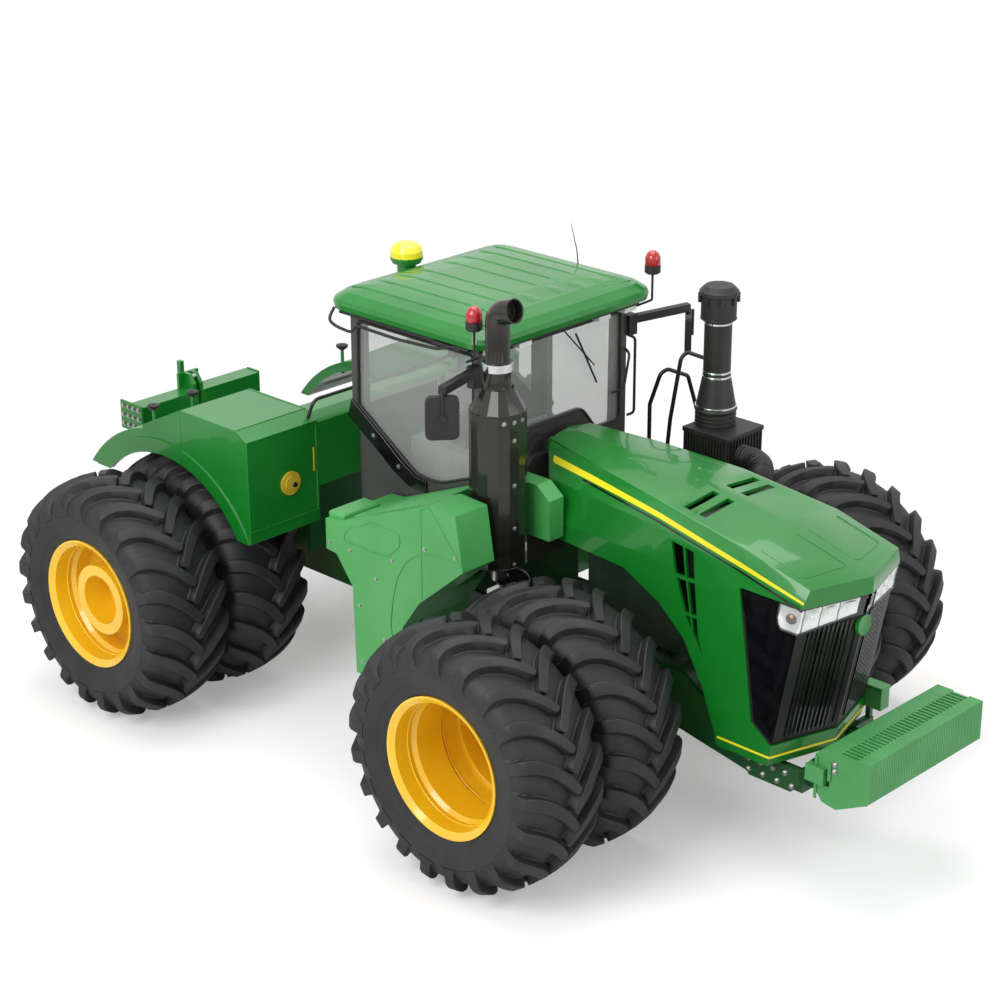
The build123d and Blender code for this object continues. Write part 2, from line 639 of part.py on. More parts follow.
def rounded_slab(x0, x1, half, corner, z):
    """Rounded rectangle seen from above, at one height."""
    return Pos((x0 + x1) / 2, 0, z) * RectangleRounded(x1 - x0, 2 * half, corner)


# columns: height, inset from the roof's outline, corner radius
ROOF_LEVELS = ((CAB_TOP + GAP, 70, 120), (3392, 12, 165), (3435, 0, 175), (3470, 12, 165),
               (3520, 75, 150), (3555, 200, 130), (ROOF_TOP_Z, 420, 100))


def make_roof():
    """Crowned roof with its overhang, lamps under the corners, beacons and the receiver globe."""
    x0, x1 = ROOF_X
    slabs = [rounded_slab(x0 + inset, x1 - inset, ROOF_HALF - inset, corner, z)
             for z, inset, corner in ROOF_LEVELS]
    roof = loft(slabs, ruled=True)
    save("cab_roof", roof)

    lamps = []
    for lamp_x0, lamp_x1, y in ((870, 955, 720), (870, 955, 430), (-595, -520, 720)):
        lamps.append(block(lamp_x0, lamp_x1, y - 65, y + 65, CAB_TOP - 60, CAB_TOP))
    save("roof_lamps", *[one for lamp in lamps for one in both_sides(lamp)])


def make_seat():
    """Operator's seat on its pedestal, with soft cushions apart, and the controls."""
    floor = CAB_FLOOR + CAB_WALL
    base = block(SEAT_X - 200, SEAT_X + 200, -180, 180, floor, 2060)
    base += block(SEAT_X - 250, SEAT_X + 250, -240, 240, 2060, 2090)
    base += block(SEAT_X - 300, SEAT_X - 270, -220, 220, 2060, 2760)
    base += block(SEAT_X - 300, SEAT_X - 240, -220, 220, 2060, 2090)
    save("seat_base", base)
    cushion = block(SEAT_X - 220, SEAT_X + 280, -250, 250, 2090 + GAP, 2210)
    back = block(SEAT_X - 270 + GAP, SEAT_X - 150, -240, 240, 2215, 2860)
    cushion = fillet(cushion.edges().filter_by(Axis.Z), 60)
    back = fillet(back.edges().filter_by(Axis.X), 60)
    save("seat_cushions", cushion, back)
    column = block(560, 640, -60, 60, floor, 2280) + bar((600, 0, 2280), (500, 0, 2480), 35)
    wheel_plane = Plane(origin=(500, 0, 2480), z_dir=(-100, 0, 200))
    column += wheel_plane * Torus(200, 14)
    for i in range(3):
        turn = Rot(0, 0, 120 * i)
        column += wheel_plane * turn * Pos(100, 0, 0) * Box(200, 26, 12)
    console = block(-120, 520, -560, -330, floor, 2300) + block(-120, 520, -560, -330, 2300, 2380)
    save("cab_controls", column, console)


# ---------------------------------------------------------------- platforms
# columns: x, z of the right skirt, from its rear top corner round to its leg
SKIRT = (
    (-70, 2000), (88, 2018), (1033, 2407), (1292, 2394), (1361, 1987), (1171, 1825), (913, 1610),
    (741, 1370), (660, 1100), (640, 840), (228, 833), (209, 1531), (41, 1746), (-70, 1756),
)


def platform():
    """Platform drawn on the left: outer skirt, sloping deck and inner liner as one folded shell."""
    body = plate_xz(SKIRT, DECK_IN, DECK_OUT)
    hollow = inset_outline(SKIRT, SKIRT_T, DECK_IN - 10, DECK_OUT - SKIRT_T)
    body -= hollow
    body -= block(EXHAUST_NOTCH_X, 1500, DECK_IN - 20, EXHAUST_NOTCH_Y, 1300, 2500)
    body += block(EXHAUST_NOTCH_X - SKIRT_T, EXHAUST_NOTCH_X, DECK_IN, DECK_OUT - SKIRT_T, 1700, 2330)
    return body & plate_xz(SKIRT, DECK_IN - 20, DECK_OUT)


# columns: x, z of the box between the cab, the hood and the exhaust
SIDE_BOX = ((CAB_FRONT + GAP, 2020), (1470, 2020), (1470, 2330), (1345, 2425), (CAB_FRONT + GAP, 2425))


def landing():
    """Left side: landing below the door on two stringers, with three treads up to it."""
    x0, x1 = STEP_X
    body = block(LANDING_REAR, LANDING_FRONT, DECK_IN, DECK_OUT, LANDING_Z - 45, LANDING_Z)
    body += block(LANDING_REAR, x0 - 20, DECK_OUT - SKIRT_T, DECK_OUT, LANDING_Z - 200, LANDING_Z)
    body += block(x1 + 20, LANDING_FRONT, DECK_OUT - SKIRT_T, DECK_OUT, LANDING_Z - 200, LANDING_Z)
    stringer = [(DECK_IN, 800), (DECK_OUT, 800), (DECK_OUT, 900), (DECK_OUT - 200, LANDING_Z - 20),
                (DECK_IN, LANDING_Z - 20)]
    for x in STEP_X:
        body += plate_yz(stringer, x - 20, x + 20)
    for i in range(3):
        z = 820 + 270 * i
        y = DECK_OUT - 20 - 60 * i
        body += block(x0, x1, y - 260, y, z, z + 40)
    return body


def make_platforms():
    """Raised skirted platform on the right, and the landing with its steps on the left."""
    box = plate_xz(SIDE_BOX, -DECK_IN + 105, -HOOD_HALF - 25)
    save("side_platforms", mirrored(platform()), box, landing())


# columns: name of the run, then its points
LEFT_RAILS = (
    ((928, 1000, LANDING_Z + GAP), (928, 1000, 2490), (1050, 1000, 2820), (1055, 1300, 2680),
     (1055, 1450, 2300), (930, 1450, 1860), (930, 1450, LANDING_Z + GAP)),
    ((1105, 1000, LANDING_Z + GAP), (1105, 1000, 2100), (1137, 1000, 2420), (1240, 1000, 3000),
     (1240, 1300, 2860), (1240, 1450, 2400), (1100, 1450, 1850), (1100, 1450, LANDING_Z + GAP)),
)
RAIL_R = 16


def make_handrails():
    """Bent tube handrails on both sides of the left landing's way down."""
    rails = [tube_run(points, RAIL_R, 60) for points in LEFT_RAILS]
    save("handrails", *rails)


# columns: x, y, z of the mirror's middle
MIRROR = (1013, 1340, 3020)
MIRROR_TURN = 40


def make_mirrors():
    """Mirror each side: box arm from the roof's corner, stem and head."""
    x, y, z = MIRROR
    arm = block(CAB_FRONT - 40, CAB_FRONT + 30, CAB_HALF + GAP, CAB_HALF + 90, 3080, 3240)
    way = Vector(x - CAB_FRONT, y - CAB_HALF - 40, 20)
    beam = Plane(origin=(CAB_FRONT, CAB_HALF + 40, 3200), z_dir=way) * Rectangle(60, 60)
    arm += extrude(beam, amount=way.length)
    arm += bar((x, y, z), (x, y, 3220), 14)
    head = Box(50, 240, 320)
    head = fillet(head.edges().filter_by(Axis.X), 45)
    save("mirrors", *both_sides(arm + Pos(x, y, z) * Rot(0, 0, MIRROR_TURN) * head))


BEACON = (960, 962, 3657)


def make_beacons():
    """Beacon each side on a bent stem under the roof's front corner."""
    x, y, z = BEACON
    lamp = turned_up([(0, z - 62), (42, z - 62), (48, z - 30), (48, z + 20), (30, z + 52), (0, z + 62)], x, y)
    foot = CAB_FRONT - 12
    stem = [(x, y, z - 60), (x, y, 3350), (foot, y - 40, 3285), (foot, CAB_HALF + GAP, 3285)]
    lamp += tube_run(stem, 9, 20)
    save("beacons", *both_sides(lamp))


GLOBE = (-722, 0, 3440)


def make_globe():
    """Position receiver behind the roof: a base on its bracket, and the dome on it."""
    x, y, z = GLOBE
    seam = z + 125
    base = [(0, z), (75, z), (75, z + 72), (114, z + 76), (114, z + 96), (128, z + 100), (128, seam),
            (0, seam)]
    body = turned_up(base, x, y)
    dome = [(0, seam + GAP), (126, seam + GAP), (124, seam + 45), (106, seam + 85), (64, seam + 108),
            (0, seam + 112)]
    save("globe_dome", turned_up(dome, x, y))
    body += block(x, ROOF_X[0] - GAP, -60, 60, z - 20, z + 20)
    save("position_globe", body)


# ---------------------------------------------------------------- exhaust and intake
EXHAUST = (1168, -940)
INTAKE = (1500, 1100)


def make_exhaust():
    """Exhaust stack: faceted shield, cone, neck, clamp, tube and elbow."""
    x, y = EXHAUST
    shield = extrude(Plane.XY.offset(1850) * Pos(x, y) * RegularPolygon(207, 16), amount=1180)
    cone = loft([Plane.XY.offset(3030) * Pos(x, y) * RegularPolygon(207, 16),
                 Plane.XY.offset(3190) * Pos(x, y) * RegularPolygon(118, 16)], ruled=True)
    stack = shield + cone
    stack += bar((x, y, 3180), (x, y, 3310), 100)
    stack += bar((x, y, 3310), (x, y, 3375), 108)
    stack += tube_run([(x, y, 3340), (x, y, 3735), (x + 160, y, 3775)], 88, 95)
    stack -= bar((x + 165, y, 3777), (x + 90, y, 3757), 78)
    stack += tube_run([(x, y, 1860), (x, y, 1680), (x, -680, 1680), (x, -680, 1130)], 55, 90)
    stack += block(x - 70, x + 70, -750, -RAIL_OUT - GAP, 1100, 1150)
    save("exhaust_stack", stack)


def make_intake():
    """Air intake: filter box, bottle-shaped precleaner and its cap."""
    x, y = INTAKE
    tower = turned_up([(0, 2450), (155, 2450), (155, 2560), (165, 2580), (150, 2620), (105, 2860),
                       (105, 3280), (135, 3290), (135, 3480), (150, 3490), (150, 3510), (110, 3550),
                       (0, 3550)], x, y)
    box = block(x - 120, x + 300, y - 230, y + 200, 2120, 2455)
    leg = block(x, x + 80, RAIL_OUT + GAP, 700, RAIL_TOP - 80, RAIL_TOP - 20)
    post = block(x, x + 80, 620, 700, RAIL_TOP - 80, 2125)
    post += block(x, x + 80, 620, y, 2060, 2125)
    hose = tube_run([(x + 290, y - 60, 2280), (x + 520, y - 60, 2280), (x + 640, y - 260, 2180)], 85, 120)
    save("air_intake", tower + box + leg + post + hose)


# ---------------------------------------------------------------- rear frame
REAR_RAIL = (
    (REAR_FRAME_FRONT, RAIL_LOW), (REAR_FRAME_FRONT, RAIL_TOP), (REAR_FRAME_REAR, RAIL_TOP),
    (REAR_FRAME_REAR, 620), (-2350, 620), (-2250, RAIL_LOW),
)
TANK_POST_X = (-1200, -1620)
TANK_MID_LOW = 1810
TANK_MID_TOP = 2400
TANK_SADDLE_Z = 2150         # low part of the middle, behind its raised front


def make_rear_frame():
    """Side plates, cross plates, tongues, hitch tower, lugs and drawbar."""
    frame = plate_xz(REAR_RAIL, REAR_RAIL_IN, REAR_RAIL_OUT)
    frame += plate_xz(REAR_RAIL, -REAR_RAIL_OUT, -REAR_RAIL_IN)
    for x in (REAR_FRAME_FRONT - 40, REAR_FRAME_REAR):
        frame += block(x, x + 40, -REAR_RAIL_IN, REAR_RAIL_IN, RAIL_LOW, RAIL_TOP)
    frame -= block(REAR_FRAME_FRONT - 60, REAR_FRAME_FRONT + 10, -90, 90, 880, 1060)
    for z in PIVOT_LEVELS:
        low = z - PIVOT_TONGUE_T / 2
        tongue = block(REAR_FRAME_FRONT - 20, 0, -PIVOT_LUG_R, PIVOT_LUG_R, low, low + PIVOT_TONGUE_T)
        tongue += extrude(Plane.XY.offset(low) * Circle(PIVOT_LUG_R), amount=PIVOT_TONGUE_T)
        frame += tongue - bar((0, 0, low - 1), (0, 0, low + PIVOT_TONGUE_T + 1), PIVOT_PIN_R + PIN_PLAY)
    for x in TANK_POST_X:
        frame += block(x, x + 40, -700, 700, RAIL_TOP - 10, TANK_MID_LOW)
    for side in (-1, 1):
        for lug in steer_lugs(STEER_REAR_X, side, REAR_RAIL_OUT):
            frame += lug
        frame -= steer_pocket(STEER_REAR_X + 70, REAR_FRAME_FRONT + 10, side, 235)
    tower = [(-2330, RAIL_TOP - 20), (-2330, 1560), (HITCH_X - 70, TOP_LINK_Z + 70),
             (HITCH_X - 70, RAIL_TOP - 20)]
    inner = LINK_T / 2 + FACE_GAP
    for side in (-1, 1):
        a, b = side * inner, side * (inner + 30)
        frame += plate_xz(tower, min(a, b), max(a, b))
    frame += block(-2370, -2330, -200, 200, RAIL_TOP - 20, 1400)
    frame += block(HITCH_X - 70, -2300, -REAR_RAIL_OUT, REAR_RAIL_OUT, RAIL_TOP - 30, RAIL_TOP)
    frame += across(HITCH_X, TOP_LINK_Z, -inner - 30, inner + 30, HITCH_PIN_R)
    for side in (-1, 1):
        for edge in (-1, 1):
            y = side * DRAFT_Y + edge * (LINK_T / 2 + FACE_GAP)
            y0, y1 = min(y, y + edge * LINK_LUG_T), max(y, y + edge * LINK_LUG_T)
            frame += block(HITCH_X - 60, HITCH_X + 90, y0, y1, DRAFT_Z - 60, RAIL_TOP - 300)
        frame += block(HITCH_X + 56, HITCH_X + 90, side * REAR_RAIL_IN, side * (DRAFT_Y + 45), DRAFT_Z - 60,
                       RAIL_TOP - 300)
        frame += across(HITCH_X, DRAFT_Z, side * (DRAFT_Y - 45), side * (DRAFT_Y + 45), HITCH_PIN_R)
    px, pz = LIFT_PIN
    for side in (-1, 1):
        for edge in (-1, 1):
            y = side * DRAFT_Y + edge * (CYL_EYE_T / 2 + FACE_GAP)
            y0, y1 = min(y, y + edge * LINK_LUG_T), max(y, y + edge * LINK_LUG_T)
            lug = [(px - 50, pz - 5), (px - 50, pz + 50), (px + 60, pz + 50), (px + 160, RAIL_TOP - 20),
                   (px + 60, RAIL_TOP - 20), (px + 10, pz - 45)]
            frame += plate_xz(lug, y0, y1)
        frame += block(px + 60, px + 160, side * REAR_RAIL_IN, side * (DRAFT_Y + 45), RAIL_TOP - 40, RAIL_TOP)
        frame += across(px, pz, side * (DRAFT_Y - 45), side * (DRAFT_Y + 45), HITCH_PIN_R)
    drawbar = block(-3010, -2300, -60, 60, 480, 530) - bar((-2950, 0, 470), (-2950, 0, 540), 26)
    frame += drawbar
    frame += block(-2700, -2300, -120, 120, 530, 580)
    frame += block(-2700, -2300, -REAR_RAIL_OUT, REAR_RAIL_OUT, 580, 630)
    frame -= saddle_cut(-AXLE_X)
    save("rear_frame", frame)
    shaft = bar((-AXLE_X + DIFF_R + GAP, 0, WHEEL_Z), (-60, 0, WHEEL_Z), 45)
    shaft += bar((-1660, 0, WHEEL_Z), (-1600, 0, WHEEL_Z), 75)
    shaft += bar((-130, 0, WHEEL_Z), (-60, 0, WHEEL_Z), 70)
    save("drive_shaft", shaft)


# ---------------------------------------------------------------- tank and fenders
def arch_lip():
    """Lip round the left rear wheel arch, in the plane of the tank's and the fender's outer face."""
    disc = across(-AXLE_X, WHEEL_Z, TANK_OUT - ARCH_LIP_T, TANK_OUT + 12, FENDER_IN_R + 30)
    return disc - across(-AXLE_X, WHEEL_Z, TANK_OUT - ARCH_LIP_T - 1, TANK_OUT + 13, ARCH_LIP_R)


def make_tank():
    """Tank with a hanging box each side and a raised middle, then the fenders behind them."""
    side_box = [(TANK_FRONT, TANK_LOW), (TANK_FRONT, 2360), (-1070, TANK_TOP), (TANK_REAR, TANK_TOP),
                (TANK_REAR, 2050), (-1400, 1880), (-1150, 1680), (-1050, TANK_LOW)]
    mid_box = [(TANK_FRONT, TANK_MID_LOW), (TANK_FRONT, 2340), (-1040, TANK_MID_TOP), (-1150, TANK_MID_TOP),
               (-1170, TANK_SADDLE_Z), (TANK_REAR, TANK_SADDLE_Z), (TANK_REAR, TANK_MID_LOW)]
    tank = plate_xz(mid_box, -TANK_IN, TANK_IN)
    for side in both_sides(plate_xz(side_box, TANK_IN, TANK_OUT)):
        tank += side
    wheel_room = across(-AXLE_X, WHEEL_Z, -2000, 2000, FENDER_IN_R + 20)
    tank -= wheel_room - block(-3500, 0, -TANK_IN, TANK_IN, 0, 3000)
    lip = arch_lip() & block(TANK_REAR, TANK_FRONT, 0, 2000, TANK_LOW, 2400)
    for side in both_sides(lip):
        tank += side
    save("rear_tank", tank)


# columns: x, y, foot height and top height of each rear lamp's stalk, and the sides that have it
LAMP_STALKS = ((-2790, 950, 1800, 2035, (-1,)), (-2420, 830, 2000, 2215, (-1, 1)))


def make_rear_lamps():
    """Round rear lamps on the fenders' stalks."""
    lamps = []
    for x, y, _, top, where in LAMP_STALKS:
        for side in where:
            profile = [(0, top + GAP), (30, top + GAP), (52, top + 22), (52, top + 38), (0, top + 50)]
            lamps.append(turned_up(profile, x, side * y))
    save("rear_lamps", *lamps)


def make_tank_cap():
    """Filler cap on the tank's front face, on the right."""
    cap = bar((TANK_FRONT + GAP, CAP_Y, CAP_Z), (TANK_FRONT + 15, CAP_Y, CAP_Z), 95)
    cap += bar((TANK_FRONT + 15, CAP_Y, CAP_Z), (TANK_FRONT + 25, CAP_Y, CAP_Z), 60)
    save("tank_cap", cap)


def make_fenders():
    """Curved fenders over the inner rear wheels, from the tank's rear edge down to their tips."""
    drum = across(-AXLE_X, WHEEL_Z, TANK_IN, TANK_OUT, FENDER_OUT_R)
    top = [(TANK_REAR, TANK_TOP), (TANK_REAR, 2100), (-2230, 2000), (-2230, 2190)]
    wedge = plate_xz(top, TANK_IN, TANK_OUT)
    fender = drum + wedge
    fender -= across(-AXLE_X, WHEEL_Z, 0, 2000, FENDER_IN_R + 20)
    keep = plate_xz([(TANK_REAR - GAP, 1700), (TANK_REAR - GAP, 2700), (-3300, 2700), (-3300, 1700)], 0, 2000)
    fender = (fender + arch_lip()) & keep
    sides = []
    for side, plain in ((1, fender), (-1, mirrored(fender))):
        for x, y, foot, top, where in LAMP_STALKS:
            if side in where:
                plain += bar((x, side * y, foot), (x, side * y, top), 15)
        sides.append(plain)
    save("rear_fenders", *sides)


# ---------------------------------------------------------------- hitch
def make_hitch():
    """Draft links, quick coupler, top link and the two lift cylinders."""
    end_x = HITCH_X - LINK_L
    links = []
    for side in (-1, 1):
        y0, y1 = side * DRAFT_Y - LINK_T / 2, side * DRAFT_Y + LINK_T / 2
        link = block(end_x, HITCH_X, y0, y1, DRAFT_Z - 40, DRAFT_Z + 40)
        link += across(HITCH_X, DRAFT_Z, y0, y1, 50) + across(end_x, DRAFT_Z, y0, y1, 50)
        link -= across(HITCH_X, DRAFT_Z, y0 - 1, y1 + 1, HITCH_PIN_R + PIN_PLAY)
        link -= across(end_x, DRAFT_Z, y0 - 1, y1 + 1, HITCH_PIN_R + PIN_PLAY)
        links.append(link)
    ex, ez = LIFT_EYE
    cross_y = DRAFT_Y - LINK_T / 2
    lugs = []
    for side in (-1, 1):
        for edge in (-1, 1):
            y = side * DRAFT_Y + edge * (CYL_EYE_T / 2 + FACE_GAP)
            y0, y1 = min(y, y + edge * 20), max(y, y + edge * 20)
            lugs.append(block(ex - 50, ex + 50, y0, y1, DRAFT_Z - 40, ez + 50))
        middle = side * DRAFT_Y
        lugs.append(block(ex - 50, ex + 50, middle - 40, middle + 40, DRAFT_Z - 40, DRAFT_Z + 40))
    cross = block(ex - 200, ex - 140, -cross_y, cross_y, DRAFT_Z - 30, DRAFT_Z + 30)
    body = links[0] + links[1] + cross
    for lug in lugs:
        body += lug
    save("hitch_links", body)

    lug_in = LINK_T / 2 + FACE_GAP
    beam_top = COUPLER_Z0 + COUPLER_BEAM
    coupler = block(COUPLER_X - 90, COUPLER_X + 90, -COUPLER_HALF, COUPLER_HALF, COUPLER_Z0, beam_top)
    top_slot = block(COUPLER_X - 60, COUPLER_X + 200, -lug_in, lug_in, COUPLER_Z0 - 1, beam_top + 1)
    coupler -= top_slot
    for side in (-1, 1):
        y0 = side * lug_in
        y1 = side * (lug_in + 30)
        bracket = [(COUPLER_X - 90, COUPLER_Z0 + 20), (COUPLER_X - 90, 1960), (COUPLER_X + 10, 1960),
                   (COUPLER_X + 70, 1880), (COUPLER_X + 70, COUPLER_Z0 + 20)]
        coupler += plate_xz(bracket, min(y0, y1), max(y0, y1))
        for edge in (-1, 1):
            y = side * DRAFT_Y + edge * (LINK_T / 2 + FACE_GAP)
            ya, yb = min(y, y + edge * 25), max(y, y + edge * 25)
            coupler += block(COUPLER_X - 90, COUPLER_X + 60, ya, yb, DRAFT_Z - 60, COUPLER_Z0 + 10)
        coupler += across(COUPLER_X, DRAFT_Z, side * (DRAFT_Y - 45), side * (DRAFT_Y + 45), HITCH_PIN_R)
        hook = [(COUPLER_X - 90, DRAFT_Z - 60), (COUPLER_REAR, DRAFT_Z - 60), (COUPLER_REAR, DRAFT_Z + 60),
                (COUPLER_X - 140, DRAFT_Z + 60), (COUPLER_X - 140, DRAFT_Z - 20),
                (COUPLER_X - 90, DRAFT_Z - 20)]
        coupler += plate_xz(hook, side * DRAFT_Y + 20.5 if side > 0 else side * DRAFT_Y - 45.5,
                            side * DRAFT_Y + 45.5 if side > 0 else side * DRAFT_Y - 20.5)
    coupler += across(COUPLER_X, TOP_LINK_Z, -lug_in - 30, lug_in + 30, HITCH_PIN_R)
    coupler += block(COUPLER_X - 90, COUPLER_X - 60, -110, 110, COUPLER_Z0, 1960)
    coupler += block(COUPLER_X - 130, COUPLER_X - 80, -70, -30, 1900, 2060)
    save("quick_coupler", coupler)

    y0, y1 = -LINK_T / 2, LINK_T / 2
    link = across(HITCH_X, TOP_LINK_Z, y0, y1, 45) + across(end_x, TOP_LINK_Z, y0, y1, 45)
    link += bar((HITCH_X, 0, TOP_LINK_Z), (end_x, 0, TOP_LINK_Z), LINK_T / 2 - 1)
    link += bar((HITCH_X - 200, 0, TOP_LINK_Z), (HITCH_X - 700, 0, TOP_LINK_Z), 34)
    link -= across(HITCH_X, TOP_LINK_Z, y0 - 1, y1 + 1, HITCH_PIN_R + PIN_PLAY)
    link -= across(end_x, TOP_LINK_Z, y0 - 1, y1 + 1, HITCH_PIN_R + PIN_PLAY)
    save("top_link", link)

    barrels, rods = [], []
    for side in (-1, 1):
        start = (LIFT_PIN[0], side * DRAFT_Y, LIFT_PIN[1])
        end = (LIFT_EYE[0], side * DRAFT_Y, LIFT_EYE[1])
        barrel, rod = cylinder_pair(start, end, LIFT_BARREL_L, LIFT_ROD_L, (0, 1, 0), 42, 24)
        barrels.append(barrel)
        rods.append(rod)
    save("lift_barrels", *barrels)
    save("lift_rods", *rods)


def cylinder_pair(start, end, barrel_l, rod_l, eye_axis, barrel_r, rod_r):
    """Hydraulic cylinder: a bored barrel with its eye at start, and a rod with its eye at end."""
    a, b = Vector(*start), Vector(*end)
    way = (b - a).normalized()
    side = Vector(*eye_axis).normalized()

    def eye(centre):
        """Flat eye with its hole along eye_axis."""
        low = centre - side * (CYL_EYE_T / 2)
        high = centre + side * (CYL_EYE_T / 2)
        far_low, far_high = low - side, high + side
        solid = bar(tuple(low), tuple(high), EYE_R - 8)
        return solid, bar(tuple(far_low), tuple(far_high), HITCH_PIN_R + PIN_PLAY)

    barrel_eye, barrel_hole = eye(a)
    rod_eye, rod_hole = eye(b)
    barrel = barrel_eye + bar(tuple(a + way * 80), tuple(a + way * barrel_l), barrel_r)
    barrel += bar(tuple(a), tuple(a + way * 82), CYL_EYE_T / 2 - 1)
    barrel -= barrel_hole
    barrel -= bar(tuple(a + way * 100), tuple(a + way * (barrel_l + 1)), rod_r + FACE_GAP)
    rod = rod_eye + bar(tuple(b - way * rod_l), tuple(b), min(rod_r, CYL_EYE_T / 2 - 1))
    rod -= rod_hole
    return barrel, rod


def make_steering():
    """Two steering cylinders from the front frame to the rear frame."""
    for name, side in (("left", 1), ("right", -1)):
        start = (STEER_FRONT_X, side * STEER_Y, STEER_Z)
        end = (STEER_REAR_X, side * STEER_Y, STEER_Z)
        barrel, rod = cylinder_pair(start, end, STEER_BARREL_L, STEER_ROD_L, (0, 0, 1), CYL_R, CYL_ROD_R - 6)
        save(f"steer_barrel_{name}", barrel)
        save(f"steer_rod_{name}", rod)


def make_engine():
    """Engine as one plain block on the frame's cross plates."""
    save("engine_block", block(*ENGINE_X, -ENGINE_HALF, ENGINE_HALF, *ENGINE_Z))


make_wheels()
make_front_frame()
make_weights()
make_engine()
make_hood()
make_cab()
make_roof()
make_seat()
make_platforms()
make_handrails()
make_mirrors()
make_beacons()
make_globe()
make_exhaust()
make_intake()
make_rear_frame()
make_tank()
make_fenders()
make_rear_lamps()
make_tank_cap()
make_hitch()
make_steering()
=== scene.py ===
"""Articulated farm tractor on dual wheels: finishes, tyre treads, trim, lamps and upholstery.

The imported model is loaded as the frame, and every piece here rides on one of its bodies.
Shapes are worked out about the articulation pin (X forward, Y left, Z up, metres) and moved
once, as they are put into a mesh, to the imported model's origin.
"""
import logging
import math
from dataclasses import dataclass, field
from enum import Enum
from typing import Any, Optional, Sequence

import bpy
import numpy as np
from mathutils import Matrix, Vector


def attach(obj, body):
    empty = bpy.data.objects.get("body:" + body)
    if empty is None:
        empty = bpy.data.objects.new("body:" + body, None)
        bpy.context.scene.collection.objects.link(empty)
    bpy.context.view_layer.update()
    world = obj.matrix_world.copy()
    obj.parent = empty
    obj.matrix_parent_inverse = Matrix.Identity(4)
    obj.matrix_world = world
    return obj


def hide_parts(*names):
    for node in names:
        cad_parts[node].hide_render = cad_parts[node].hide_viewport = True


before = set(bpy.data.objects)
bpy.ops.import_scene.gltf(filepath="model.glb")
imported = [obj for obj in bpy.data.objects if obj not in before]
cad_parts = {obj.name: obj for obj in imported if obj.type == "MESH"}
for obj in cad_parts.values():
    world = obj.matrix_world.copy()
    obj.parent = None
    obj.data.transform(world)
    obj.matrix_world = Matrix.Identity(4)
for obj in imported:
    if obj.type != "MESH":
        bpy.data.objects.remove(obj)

logging.basicConfig(level=logging.INFO, format="%(levelname)s %(message)s")
LOG = logging.getLogger("tractor")

Array = np.ndarray
Corners = tuple[tuple[float, float, float], tuple[float, float, float]]
PIN_TO_ORIGIN = np.array([-0.350, 0.0, 0.0])
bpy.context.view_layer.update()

SMOOTH_DEGREES = 35.0      # flatter edges shade smoothly
BEVEL_DEGREES = 32         # sharper edges are rounded
WELD_DISTANCE = 0.00002    # points closer than this are one
FLAT_DEGREES = 0.6         # flatter edges are dissolved
STRAIGHT_RUN = 0.48        # the most of a run that one rounded corner takes up
TREAD_RADIUS = 0.95        # where the width of a lug is measured
UP = np.array([0, 0, 1.0])


class Body(str, Enum):
    """CAD bodies that pieces ride on."""

    CHASSIS = "chassis"
    HOOD = "hood"
    DOOR = "door"
    REAR = "rear"
    COUPLER = "coupler"


class Side(Enum):
    """Side of the machine, with its sign along Y."""

    LEFT = 1
    RIGHT = -1


SIDES = (Side.LEFT, Side.RIGHT)


# ------------------------------------------------------------------ mesh helpers
def rows(*points: Sequence[float]) -> Array:
    """Points as a float array, one per row."""
    return np.array(points, float)


def round_angles(steps: int) -> Array:
    """Equal steps round a full turn, in radians."""
    return np.linspace(0, 2 * math.pi, steps, endpoint=False)


def at_y(outline: Array, y: float) -> Array:
    """Rows of x and z as points in the plane at y."""
    return np.insert(outline, 1, y, axis=outline.ndim - 1)


def grid_faces(nu: int, nv: int, close_u: bool, close_v: bool) -> Array:
    """Quads of a grid of nu by nv points, whose index is u * nv + v.

    Args:
        nu: Number of points along u.
        nv: Number of points along v.
        close_u: Whether the last u row joins the first.
        close_v: Whether the last v column joins the first.

    Returns:
        One row of four indices for each quad.
    """
    u = np.arange(nu if close_u else nu - 1)[:, None]
    v = np.arange(nv if close_v else nv - 1)[None, :]
    u2, v2 = (u + 1) % nu, (v + 1) % nv
    quads = np.stack(np.broadcast_arrays(u * nv + v, u2 * nv + v, u2 * nv + v2, u * nv + v2), -1)
    return quads.reshape(-1, 4)


@dataclass
class Shell:
    """Points and faces of one surface, or of many put together."""

    points: Array
    faces: list[tuple[int, ...]]

    def __add__(self, other: "Shell") -> "Shell":
        """Both shells as one.

        Args:
            other: The shell to join.

        Returns:
            One shell.
        """
        shift = len(self.points)
        more = [tuple(i + shift for i in f) for f in other.faces]
        return Shell(np.vstack([self.points, other.points]), self.faces + more)

    def flipped_y(self) -> "Shell":
        """The mirror image across the machine, facing outwards as before."""
        return Shell(self.points * (1, -1, 1), [f[::-1] for f in self.faces])

    def both(self) -> "Shell":
        """The shell and its mirror image."""
        return self + self.flipped_y()


def gather(shells: Sequence[Shell]) -> Shell:
    """Many shells as one, in a single pass.

    Args:
        shells: The shells.

    Returns:
        All of them as one.
    """
    counts = np.cumsum([0] + [len(s.points) for s in shells])
    faces = [tuple(i + int(n) for i in f) for s, n in zip(shells, counts) for f in s.faces]
    return Shell(np.vstack([s.points for s in shells]), faces)


